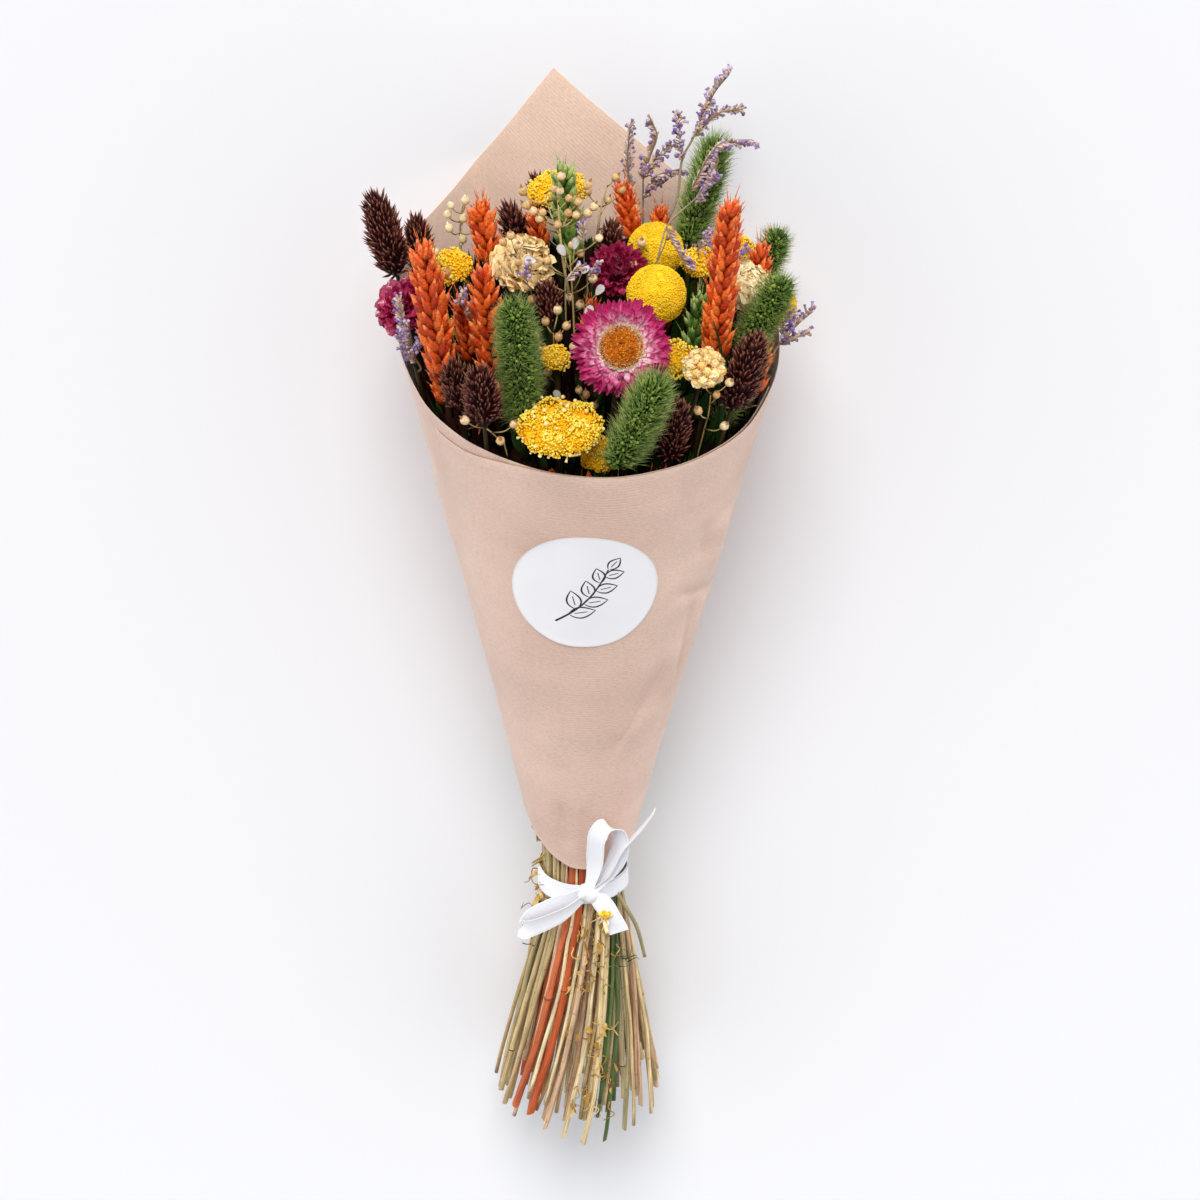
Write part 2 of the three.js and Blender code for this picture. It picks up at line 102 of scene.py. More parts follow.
# Each head: its middle x, y, z, its lean to the right and to the front in degrees, its length
# along its own axis and its width.
HEADS = {
    "wheat_orange": [
        (-71, -47, 431, -7, 8, 67, 15),
        (-69, -31, 392, -10, 6, 30, 9),
        (-48, -36, 420, -5, 6, 55, 14),
        (-50, 8, 443, -8, -1, 30, 13),
        (-58, -22, 410, -7, 5, 33, 9),
        (-27, 28, 433, -8, -5, 22, 9),
        (12, 40, 438, -12, -8, 28, 10),
        (27, 36, 431, -8, -6, 22, 9),
        (52, -36, 438, 4, 7, 82, 14),
        (69, 6, 426, 3, -1, 24, 11),
        (68.5, -24, 390, 10, 4, 26, 9),
        (-3, -10, 405, -1, 1, 28, 9),
    ],
    "wheat_green": [
        (-14, 20, 446, -7, -3, 46, 13),
        (42, -20, 412, 8, 5, 30, 11),
    ],
    "canary_grass": [
        (-93, 2, 444, -14, 0, 42, 17),
        (-79, 20, 430, -8, -3, 32, 14),
        (-61, -50, 396, -10, 12, 28, 14),
        (-50, -66, 399, -4, 11, 32, 17),
        (-38, 34, 434, -18, -6, 22, 14),
        (-27, 52, 439, -10, -9, 24, 12),
        (62, -52, 404, 16, 9, 42, 17),
        (32, -60, 380, 8, 12, 33, 14),
        (-22, -16, 420, -3, 3, 20, 12),
        (5, 26, 430, 4, -5, 20, 12),
    ],
    "foxtail": [
        (-34, -55, 409, -5, 10, 64, 18),
        (17, -74, 390, 14, 14, 50, 18),
        (45, 30, 451, 13, -3, 50, 16),
        (71, -21, 416, 24, 5, 38, 16),
        (75, 28, 421, 16, -5, 24, 14),
        (60, -35, 388, 22, 8, 46, 10),
    ],
    "yarrow": [
        (-64, -4, 430, -8, 20, 12, 19),
        (-17, -70, 385, -4, 12, 14, 36),
        (0, -56, 365, 8, 30, 12, 19),
        (-19, 40, 447, -4, 10, 10, 27),
        (43, 4, 428, 6, 20, 11, 17),
        (61, 20, 428, 8, 10, 9, 14),
        (31, -42, 404, 10, 35, 11, 18),
        (-19, -36, 402, -4, 30, 9, 13),
        (15, -50, 386, 4, 25, 8, 10),
        (-60, -10, 405, -8, 20, 9, 12),
    ],
    "craspedia": [
        (24, 18, 428, 6, 10, 25, 25),
        (24.2, -18.4, 423.5, 6, 20, 26, 26),
        (76.6, -2.5, 411, 16, 10, 18, 18),
    ],
    "strawflower": [
        (9, -52, 414, 4, 58, 14, 42),
        (8.2, 0, 428, 4, 45, 13, 25),
        (-87, -18, 420, -35, 35, 14, 25),
    ],
    "cream_flower": [
        (-34, -4, 434, -6, 35, 16, 27),
        (63, -6, 425, 10, 35, 15, 22),
        (44, -56, 407, 8, 40, 12, 19),
    ],
    "statice": [
        (33, 50, 461, 14, -7, 80, 20),
        (21, 55, 447, 0, -8, 50, 14),
        (80, -20, 406, 30, 6, 26, 10),
        (-82, -30, 406, -12, 8, 26, 10),
    ],
    "flax": [
        (-12, -2, 438, -4, 2, 60, 24),
        (-62, 24, 436, -4, -5, 28, 16),
        (-2, 33, 438, -2, -7, 24, 12),
    ],
}
# How far a stem reaches into its head, as a share of the head's length.
STEM_INTO_HEAD = 0.3
# The knot's middle and size, and the middle lines and side vectors of the ribbon's loops and tails.
KNOT = ((-5.5, -24.5, 124.5), (9, 8, 9))
UPPER_LOOP = (
    ((-5, -25, 127), (-3, -28, 140), (-2, -31, 151), (-1, -33, 160), (3, -34, 166),
     (8, -32, 163), (9, -30, 152), (5, -27, 139), (-2, -25, 128)),
    (0.8, -0.6, 0),
)
LOWER_LOOP = (
    ((-7, -26, 123), (-16, -29, 116), (-25, -31, 112), (-33, -31, 109), (-37, -28.5, 108),
     (-33, -26, 112), (-24, -25.5, 117), (-15, -25, 121), (-7, -24, 125)),
    (0.3, -0.15, 0.95),
)
LOWER_TAIL = (((-4, -25, 123), (1, -27, 120), (5, -29, 115), (9, -31, 107)), (0.75, -0.1, 0.65))
UPPER_TAIL = (
    ((-3, -24, 127), (5, -26, 137), (12, -30, 153), (20, -33, 166), (24, -34, 173)),
    (0.2, 0.97, -0.1),
)


def smoothstep(x, low=0.0, high=1.0):
    t = np.clip((x - low) / (high - low), 0, 1)
    return t * t * (3 - 2 * t)


def lerp(a, b, t):
    return a + (b - a) * t


def unit(v):
    v = np.asarray(v, float)
    return v / np.maximum(np.linalg.norm(v, axis=-1, keepdims=True), 1e-9)


def around(angle):
    """Unit vectors at right angles to z, at the angles given."""
    return np.stack([np.cos(angle), np.sin(angle), 0 * angle], -1)


def sized(wide, long):
    """Sizes for scatter of parts that are as deep as they are wide."""
    wide = np.broadcast_to(wide, np.shape(long))
    return np.stack([wide, wide, long], -1)


def lengths(path):
    """How far along the path each of its points is."""
    return np.concatenate([[0], np.cumsum(np.linalg.norm(np.diff(path, axis=0), axis=1))])


def laid(points):
    """Points of the standing bunch, in millimetres, as points of the row frame, in metres."""
    x, y, z = np.moveaxis(np.asarray(points, float), -1, 0)
    c, s = math.sin(REST_ANGLE), math.cos(REST_ANGLE)
    return MM * np.stack([x + SHIFT[0], c * y + s * z + SHIFT[1], c * z - s * y + SHIFT[2]], -1)


def axis_x(z):
    """The x of the bunch's axis."""
    return AXIS_X + AXIS_LEAN * z


def rest_y(z):
    """The y of the table that the bunch lies on."""
    return REST_Y + z * math.tan(REST_ANGLE)


def paper_radius(z):
    return np.hypot(NECK_RADIUS, math.tan(HALF_ANGLE) * (z - NECK_Z))


def round_axis(angle, radius, z):
    """Points round the bunch's axis."""
    return np.stack([axis_x(z) + radius * np.sin(angle), radius * np.cos(angle), z], -1)


def off_table(points, gap):
    """The points, with those nearer to the table than the gap lifted off it."""
    points[..., 1] = np.minimum(points[..., 1], rest_y(points[..., 2]) - gap)
    return points


def bundle_radius(z):
    """The radius of the whole bundle of stems."""
    low = BUNDLE_RADIUS + np.maximum(0, WAIST_Z - WAIST_HALF - z) * BUNDLE_FLARE
    return np.where(z < WAIST_Z, low, np.maximum(BUNDLE_RADIUS, paper_radius(z) - PAPER_CLEARANCE))


# Mesh making


def grid_faces(rows, columns, closed=False):
    """Triangles over a grid of points kept row by row."""
    wide = columns if closed else columns - 1
    r, c = np.meshgrid(np.arange(rows - 1), np.arange(wide), indexing="ij")
    a, b = r * columns + c, r * columns + (c + 1) % columns
    quads = np.stack([a, b, b + columns, a + columns], -1).reshape(-1, 4)
    return np.concatenate([quads[:, [0, 1, 2]], quads[:, [0, 2, 3]]])


def band(loop, step):
    """Triangles between a closed loop of points and the same loop further on in the list."""
    a, b = loop, np.roll(loop, -1)
    return np.concatenate([np.stack([a, b, b + step], -1), np.stack([a, b + step, a + step], -1)])


class Shape:
    """Gathers triangles with, at each vertex, a tone, a place along its element and a grain."""

    def __init__(self):
        self.chunks = []
        self.count = 0
        self.materials = []

    def add(self, points, faces, material, tone=0.5, along=0.0, grain=None):
        points = np.asarray(points, float).reshape(-1, 3)
        n = len(points)
        if material not in self.materials:
            self.materials.append(material)
        values = [np.broadcast_to(np.asarray(v, float), (n,)) for v in (tone, along)]
        grain = np.zeros((n, 3)) if grain is None else np.asarray(grain, float).reshape(-1, 3)
        index = np.full(len(faces), self.materials.index(material))
        self.chunks.append([points, np.asarray(faces) + self.count, index, *values, grain])
        self.count += n

    def turn(self, axes, origin):
        """Turns everything gathered so far to the axes' columns and moves it to the origin."""
        for chunk in self.chunks:
            chunk[0] = chunk[0] @ np.asarray(axes).T + origin
        return self

    def take(self, other):
        """Adds all of another shape."""
        for material in other.materials:
            if material not in self.materials:
                self.materials.append(material)
        order = np.array([self.materials.index(m) for m in other.materials])
        for points, faces, index, *rest in other.chunks:
            self.chunks.append([points, faces + self.count, order[index], *rest])
        self.count += other.count
        return self

    def build(self, name, slot, *nodes, crisp=False):
        """Makes the mesh, which stands for the CAD nodes and rides on the one body."""
        points, faces, index, tone, along, grain = map(np.concatenate, zip(*self.chunks))
        used, faces = np.unique(faces, return_inverse=True)
        faces = faces.reshape(-1, 3)
        points, tone, along, grain = points[used], tone[used], along[used], grain[used]
        mesh = bpy.data.meshes.new(name)
        mesh.vertices.add(len(points))
        mesh.vertices.foreach_set("co", laid(points).ravel())
        mesh.loops.add(3 * len(faces))
        mesh.loops.foreach_set("vertex_index", faces.ravel().astype(np.int32))
        mesh.polygons.add(len(faces))
        mesh.polygons.foreach_set("loop_start", np.arange(0, 3 * len(faces), 3, dtype=np.int32))
        mesh.polygons.foreach_set("material_index", index.astype(np.int32))
        mesh.polygons.foreach_set("use_smooth", np.full(len(faces), True))
        for label, values in (("tone", tone), ("along", along)):
            mesh.attributes.new(label, "FLOAT", "POINT").data.foreach_set("value", values)
        if grain.any():
            layer = mesh.attributes.new("grain", "FLOAT_VECTOR", "POINT")
            layer.data.foreach_set("vector", grain.ravel())
        for material in self.materials:
            mesh.materials.append(FINISHES[material])
        mesh.update()
        mesh.validate()
        if crisp:
            mesh.set_sharp_from_angle(angle=math.radians(60))
        piece = bpy.data.objects.new(name, mesh)
        bpy.context.scene.collection.objects.link(piece)
        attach(piece, "root")
        if nodes:
            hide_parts(*nodes)
        return piece


def skin(rings, top=None, bottom=None):
    """A template from rings of points: points, triangles, and the share of the way along."""
    rows, sides = rings.shape[:2]
    points, faces = [rings.reshape(-1, 3)], [grid_faces(rows, sides, closed=True)]
    along = [np.repeat(np.linspace(0, 1, rows), sides)]
    c = np.arange(sides)
    n = rows * sides
    if top is not None:
        points.append(np.array([top], float))
        last = n - sides
        faces.append(np.stack([last + c, last + (c + 1) % sides, np.full(sides, n)], -1))
        along.append([1.0])
        n += 1
    if bottom is not None:
        points.append(np.array([bottom], float))
        faces.append(np.stack([(c + 1) % sides, c, np.full(sides, n)], -1))
        along.append([0.0])
    return np.concatenate(points), np.concatenate(faces), np.concatenate(along)


def husk(profile, sides, keel=0.0, bend=0.0):
    """A pointed body, one unit long and wide, whose back is +y. profile lists (z, width)."""
    z, width = np.array(profile, float).T
    angle = TAU * np.arange(sides) / sides + math.pi / 2
    x = width[:, None] * np.cos(angle) / 2
    y = width[:, None] * np.sin(angle) / 2
    y = y + keel * np.maximum(0, np.sin(angle)) ** 4 * width[:, None] + bend * z[:, None] ** 2
    rings = np.stack([x, y, np.broadcast_to(z[:, None], x.shape)], -1)
    return skin(rings, top=(0, bend, 1.0))


def ball(rows, sides, lobes=0, lobe=0.0, tip=0.0):
    """A unit ball on z = 0, with optional lobes round it and a pointed tip."""
    polar = math.pi * (1 - (np.arange(rows) + 0.7) / (rows + 0.4))
    angle = TAU * np.arange(sides) / sides
    bulge = 1 + lobe * np.cos(lobes * angle)[None] * np.sin(polar)[:, None]
    x = 0.5 * np.sin(polar)[:, None] * np.cos(angle) * bulge
    y = 0.5 * np.sin(polar)[:, None] * np.sin(angle) * bulge
    z = np.broadcast_to(0.5 + 0.5 * np.cos(polar)[:, None], x.shape)
    return skin(np.stack([x, y, z], -1), top=(0, 0, 1 + tip), bottom=(0, 0, 0))


def leaf(widths, cup, bend, columns, ruffle=0.0, waves=3, twist=0.0):
    """A thin leaf, one unit long and wide, that cups and bends towards +y."""
    widths = np.asarray(widths, float)
    z = np.linspace(0, 1, len(widths))[:, None]
    s = np.linspace(-0.5, 0.5, columns)[None]
    x = s * widths[:, None]
    y = cup * (2 * s) ** 2 * widths[:, None] / 2 + bend * z**2
    y = y + ruffle * z * np.sin(waves * TAU * (s + 0.5) + 2 * z)
    turn = twist * z
    x, y = x * np.cos(turn) - y * np.sin(turn), x * np.sin(turn) + y * np.cos(turn)
    points = np.stack([x, y, np.broadcast_to(z, x.shape)], -1).reshape(-1, 3)
    along = np.broadcast_to(z, x.shape).ravel()
    return points, grid_faces(len(widths), columns), along


def scatter(shape, template, origins, ahead, outward, sizes, material, tone):
    """Copies of a template: length along ahead, back to outward, sizes (width, depth, length)."""
    points, faces, along = template
    k, n = len(origins), len(points)
    z = unit(np.broadcast_to(ahead, (k, 3)))
    y = np.broadcast_to(outward, (k, 3))
    y = unit(y - (y * z).sum(-1, keepdims=True) * z)
    x = np.cross(y, z)
    local = points[None] * np.broadcast_to(sizes, (k, 3))[:, None]
    world = np.asarray(origins)[:, None] + sum(
        local[..., i : i + 1] * axis[:, None] for i, axis in enumerate((x, y, z))
    )
    every = (faces[None] + n * np.arange(k)[:, None, None]).reshape(-1, 3)
    tones = np.repeat(np.broadcast_to(tone, (k,)), n)
    shape.add(world, every, material, tones, np.tile(along, k))


def curve(points, count):
    """A smooth line through points, as evenly spaced ones."""
    p = np.asarray(points, float)
    if len(p) == 2:
        return lerp(p[0], p[1], np.linspace(0, 1, count)[:, None])
    ends = np.concatenate([[2 * p[0] - p[1]], p, [2 * p[-1] - p[-2]]])
    t = np.linspace(0, 1, 16, endpoint=False)[:, None]
    line = []
    for a, b, c, d in zip(ends, ends[1:], ends[2:], ends[3:]):
        even = 2 * b + (c - a) * t + (2 * a - 5 * b + 4 * c - d) * t**2
        line.append(0.5 * even + 0.5 * (3 * b - a - 3 * c + d) * t**3)
    line = np.concatenate([*line, p[-1:]])
    far = lengths(line)
    want = np.linspace(0, far[-1], count)
    return np.stack([np.interp(want, far, line[:, i]) for i in range(3)], -1)


def tube(shape, path, radii, material, sides, tone=0.5, seed=0.0):
    """A round tube along a path, closed at both ends."""
    path = np.asarray(path, float)
    radii = np.broadcast_to(radii, (len(path),))
    ahead = unit(np.gradient(path, axis=0))
    side = np.cross(ahead[0], (0.31, 0.52, 0.79))
    rings = []
    angle = TAU * np.arange(sides) / sides
    for point, z, r in zip(path, ahead, radii):
        side = unit(side - (side @ z) * z)
        other = np.cross(z, side)
        rings.append(point + r * (np.cos(angle)[:, None] * side + np.sin(angle)[:, None] * other))
    points, faces, along = skin(np.array(rings), top=path[-1], bottom=path[0])
    far = lengths(path)
    grain = np.zeros((len(points), 3))
    ringed = len(path) * sides
    grain[:ringed, 0] = (radii[:, None] * np.minimum(angle, TAU - angle)).ravel()
    grain[:ringed, 1] = np.repeat(far, sides)
    grain[ringed:, 1] = far[-1]
    grain[:, 2] = seed
    shape.add(points, faces, material, tone, along, grain)


def spread(profile, count, turn=0.0):
    """Evenly spaced places over a body turned from (radius, z) points, with their outward normals
    and the share of the profile's way at which they lie."""
    steps = 240
    step = np.arange(float(steps))
    r, z = np.array(profile, float).T
    t = np.linspace(0, len(r) - 1, steps)
    r, z = np.interp(t, np.arange(len(r)), r), np.interp(t, np.arange(len(z)), z)
    area = np.concatenate([[0], np.cumsum(np.hypot(np.diff(r), np.diff(z)) * (r[1:] + r[:-1]))])
    where = np.interp((np.arange(count) + 0.5) / count, area / area[-1], step)
    slope = unit(np.stack([np.gradient(z), -np.gradient(r)], -1))
    level, rise, out, high = (np.interp(where, step, values) for values in (*slope.T, r, z))
    angle = turn + GOLDEN * np.arange(count)
    normal = unit(np.stack([level * np.cos(angle), level * np.sin(angle), rise], -1))
    points = np.stack([out * np.cos(angle), out * np.sin(angle), high], -1)
    return points, normal, where / (steps - 1)


def lumps(points, size, seed):
    """A smooth random height of about -1 to 1 that changes over the size given."""
    rng = np.random.default_rng(seed)
    p = np.asarray(points, float)
    total = 0
    for _ in range(5):
        total = total + np.sin(p @ (unit(rng.normal(size=3)) * TAU / size) + rng.uniform(0, TAU))
    return total / 2.5


def turned_body(shape, profile, sides, material, tone):
    """A plain inner body under the scattered parts of a head."""
    r, z = np.array(profile, float).T
    angle = TAU * np.arange(sides) / sides
    high = np.repeat(z[:, None], sides, 1)
    rings = np.stack([r[:, None] * np.cos(angle), r[:, None] * np.sin(angle), high], -1)
    points, faces, along = skin(rings, top=(0, 0, z[-1]), bottom=(0, 0, z[0]))
    shape.add(points, faces, material, tone, along)


# Materials


def linear(colour):
    """An sRGB colour of six hexadecimal digits as the linear values that Blender takes."""
    c = np.array([int(colour[i : i + 2], 16) for i in (0, 2, 4)]) / 255
    c = np.where(c <= 0.04045, c / 12.92, ((c + 0.055) / 1.055) ** 2.4)
    return (*[float(v) for v in c], 1.0)


class Finish:
    """Short ways to wire nodes round one Principled shader."""

    def __init__(self, name, roughness, specular=0.2, **constants):
        self.material = bpy.data.materials.new(name)
        self.material.use_nodes = True
        self.tree = self.material.node_tree
        self.shader = self.tree.nodes["Principled BSDF"]
        self.shader.inputs["Roughness"].default_value = roughness
        self.shader.inputs["Specular IOR Level"].default_value = specular
        for key, value in constants.items():
            self.shader.inputs[key.replace("_", " ")].default_value = value

    def node(self, kind, *inputs, **settings):
        node = self.tree.nodes.new(kind)
        for key, value in settings.items():
            setattr(node, key, value)
        for where, value in inputs:
            socket = node.inputs[where]
            if isinstance(value, bpy.types.NodeSocket):
                self.tree.links.new(value, socket)
            else:
                socket.default_value = value
        return node

    def attribute(self, name, output="Fac"):
        return self.node("ShaderNodeAttribute", attribute_name=name).outputs[output]

    def place(self):
        return self.node("ShaderNodeTexCoord").outputs["Object"]

    def math(self, operation, a, b=0.0):
        return self.node("ShaderNodeMath", (0, a), (1, b), operation=operation).outputs[0]

    def ease(self, value, low, high, to_low=0.0, to_high=1.0):
        spans = enumerate((value, low, high, to_low, to_high))
        return self.node("ShaderNodeMapRange", *spans, interpolation_type="SMOOTHSTEP").outputs[0]

    def spanned(self, noise, low, high):
        """Takes a noise's usual span, 0.3 to 0.7, to low and high."""
        return self.ease(noise, 0.3, 0.7, low, high)

    def mix(self, factor, a, b, blend="MIX"):
        sockets = ((0, factor), (6, a), (7, b))
        return self.node("ShaderNodeMix", *sockets, data_type="RGBA", blend_type=blend).outputs[2]

    def ramp(self, factor, colours):
        node = self.node("ShaderNodeValToRGB", (0, factor))
        stops, colours = node.color_ramp.elements, colours.split()
        while len(stops) < len(colours):
            stops.new(0.5)
        for i, (stop, colour) in enumerate(zip(stops, colours)):
            stop.position = i / (len(colours) - 1)
            stop.color = linear(colour)
        return node.outputs[0]

    def noise(self, scale, detail=2.0, roughness=0.5, vector=None):
        sockets = {"Vector": self.place() if vector is None else vector, "Scale": scale}
        sockets.update(Detail=detail, Roughness=roughness)
        return self.node("ShaderNodeTexNoise", *sockets.items()).outputs[0]

    def stretched(self, vector, scale):
        node = self.node("ShaderNodeVectorMath", (0, vector), (1, scale), operation="MULTIPLY")
        return node.outputs[0]

    def shade(self, colour, noise, low, high):
        """Multiplies a colour by low to high as the noise changes."""
        grey = self.spanned(noise, low, high)
        node = self.node("ShaderNodeCombineColor", (0, grey), (1, grey), (2, grey))
        return self.mix(1.0, colour, node.outputs[0], "MULTIPLY")

    def bump(self, height, strength, distance):
        sockets = {"Height": height, "Strength": strength, "Distance": distance}
        return self.node("ShaderNodeBump", *sockets.items()).outputs[0]

    def finish(self, colour, normal=None, roughness=None):
        self.tree.links.new(colour, self.shader.inputs["Base Color"])
        if normal is not None:
            self.tree.links.new(normal, self.shader.inputs["Normal"])
        if roughness is not None:
            self.tree.links.new(roughness, self.shader.inputs["Roughness"])
        return self.material


def organic(name, colours, base=None, tip=None, base_end=0.4, tip_start=0.6, fleck=0.25,
            size=1.2, bump=0.3, roughness=0.65, streak=False, **constants):
    """Petals, husks and florets: a colour by tone, others at the base and tip, flecks and bump.

    size is the flecks' size in millimetres. With streak they run along the element."""
    f = Finish(name, roughness, **constants)
    along = f.attribute("along")
    colour = f.ramp(f.attribute("tone"), colours)
    if base is not None:
        colour = f.mix(f.ease(along, 0.0, base_end), linear(base), colour)
    if tip is not None:
        colour = f.mix(f.ease(along, tip_start, 1.0), colour, linear(tip))
    if streak:
        flecks = f.noise(1.0, 1.0, vector=f.stretched(f.place(), (900 / size, 900 / size, 160 / size)))
    else:
        flecks = f.noise(1000 / size)
    colour = f.shade(colour, flecks, 1 - fleck, 1 + fleck)
    colour = f.shade(colour, f.noise(90), 0.9, 1.08)
    rough = f.spanned(flecks, max(0.05, roughness - 0.08), roughness + 0.08)
    return f.finish(colour, f.bump(flecks, bump, 0.0004), rough)


def stalk(name, colours, blotch):
    """A dry stem: streaks along it, slow changes of colour, and a few dark marks."""
    roughness, contrast = 0.5, 0.32
    f = Finish(name, roughness)
    grain = f.attribute("grain", "Vector")
    colour = f.ramp(f.attribute("tone"), colours)
    streaks = f.noise(1.0, 3.0, vector=f.stretched(grain, (2.4, 0.08, 7.0)))
    slow = f.noise(1.0, 2.0, vector=f.stretched(grain, (0.1, 0.05, 9.0)))
    marks = f.noise(1.0, 2.0, vector=f.stretched(grain, (0.8, 0.35, 5.0)))
    colour = f.shade(colour, streaks, 1 - contrast, 1 + contrast)
    colour = f.shade(colour, slow, 0.84, 1.12)
    colour = f.mix(f.ease(marks, 0.6, 0.75, 0.0, 0.6), colour, linear(blotch))
    rough = f.spanned(streaks, roughness - 0.1, roughness + 0.15)
    return f.finish(colour, f.bump(streaks, 0.5, 0.0003), rough)


def kraft_paper():
    """Ribbed brown paper: the grain attribute is the place on the flat sheet, in millimetres."""
    f = Finish("kraft_ribbed", 0.75, 0.2, Sheen_Weight=0.2, Sheen_Roughness=0.5)
    flat = f.attribute("grain", "Vector")
    wobble = f.noise(1.0, 1.0, vector=f.stretched(flat, (0.02, 0.02, 0.0)))
    x = f.node("ShaderNodeSeparateXYZ", (0, flat)).outputs[0]
    phase = f.math("ADD", f.math("MULTIPLY", x, TAU / 1.45), f.math("MULTIPLY", wobble, 9.0))
    ribs = f.ease(f.math("SINE", phase), -1.0, 1.0)
    weak = f.noise(1.0, 2.0, vector=f.stretched(flat, (0.5, 0.035, 0.0)))
    ribs = f.math("MULTIPLY", ribs, f.spanned(weak, 0.35, 1.0))
    fibres = f.noise(1.0, 4.0, 0.65, vector=f.stretched(flat, (1.3, 0.45, 0.0)))
    cloud = f.noise(1.0, 3.0, vector=f.stretched(flat, (0.045, 0.03, 0.0)))
    specks = f.noise(1.0, 2.0, vector=f.stretched(flat, (0.9, 0.9, 0.0)))
    colour = f.ramp(f.attribute("tone"), "c8a591 ddbdab eecfb8")
    colour = f.shade(colour, cloud, 0.95, 1.05)
    colour = f.shade(colour, fibres, 0.91, 1.08)
    colour = f.mix(f.math("MULTIPLY", ribs, 0.2), colour, linear("f0dacc"))
    colour = f.mix(f.ease(specks, 0.66, 0.74, 0.0, 0.4), colour, linear("8c624c"))
    colour = f.mix(f.ease(specks, 0.34, 0.28, 0.0, 0.3), colour, linear("f6e6d8"))
    height = f.math("ADD", ribs, f.math("MULTIPLY", fibres, 0.5))
    rough = f.spanned(fibres, 0.66, 0.84)
    return f.finish(colour, f.bump(height, 0.2, 0.0003), rough)


def label_paper():
    f = Finish("label_coated", 0.42, 0.45)
    cloud = f.noise(60.0, 3.0)
    grain = f.noise(3000.0, 2.0)
    colour = f.shade(f.ramp(cloud, "f6f5f8 fdfcfe"), grain, 0.985, 1.0)
    colour = f.mix(f.ease(f.attribute("along"), 0.96, 1.0, 0.0, 0.35), colour, linear("cdc8c8"))
    return f.finish(colour, f.bump(grain, 0.06, 0.0002), f.spanned(cloud, 0.36, 0.48))


def label_ink():
    f = Finish("label_ink", 0.55, 0.3)
    wear = f.noise(1400.0, 3.0, 0.6)
    colour = f.mix(f.ease(wear, 0.6, 0.78, 0.0, 0.7), linear("2c2f36"), linear("747780"))
    return f.finish(colour, f.bump(wear, 0.05, 0.0001))


def satin():
    """White ribbon: fine cross ribs, a woven edge and a soft shine along its length."""
    f = Finish("satin_white", 0.45, 0.45, Anisotropic=0.4, Sheen_Weight=0.15, Sheen_Roughness=0.4)
    at = f.node("ShaderNodeSeparateXYZ", (0, f.attribute("grain", "Vector"))).outputs
    ribs = f.ease(f.math("SINE", f.math("MULTIPLY", at[1], TAU / 0.9)), -1.0, 1.0)
    off = f.math("ABSOLUTE", at[0])
    edge = f.ease(off, 4.05, 4.3)
    seam = f.math("MULTIPLY", f.ease(off, 3.6, 3.85), f.math("SUBTRACT", 1.0, edge))
    threads = f.noise(1.0, 2.0, vector=f.stretched(f.attribute("grain", "Vector"), (6.0, 0.4, 1.0)))
    colour = f.ramp(threads, "f0f1f6 fbfbfe")
    colour = f.mix(f.math("MULTIPLY", edge, 0.5), colour, linear("f8f8fc"))
    colour = f.mix(f.math("MULTIPLY", seam, 0.35), colour, linear("c4c6d2"))
    colour = f.mix(f.math("MULTIPLY", ribs, 0.14), colour, linear("cecfda"))
    height = f.math("ADD", f.math("MULTIPLY", ribs, 0.6), f.math("MULTIPLY", edge, 1.4))
    return f.finish(colour, f.bump(height, 0.3, 0.0003), f.spanned(threads, 0.4, 0.54))


def membrane():
    """The thin pale discs with a dark rim: along runs from the middle to the rim."""
    f = Finish("disc_membrane", 0.4, 0.4)
    along = f.attribute("along")
    veins = f.noise(1500.0, 3.0, 0.6)
    colour = f.shade(linear("e4ded8"), veins, 0.82, 1.06)
    colour = f.mix(f.ease(along, 0.86, 0.96, 0.0, 0.85), colour, linear("6e5446"))
    return f.finish(colour, f.bump(veins, 0.3, 0.0003))


def pale_floor():
    f = Finish("studio_floor", 0.9, 0.1)
    return f.finish(f.shade(linear("f0f0f2"), f.noise(3.0, 1.0), 0.995, 1.0))


GLOSS = {"specular": 0.4}
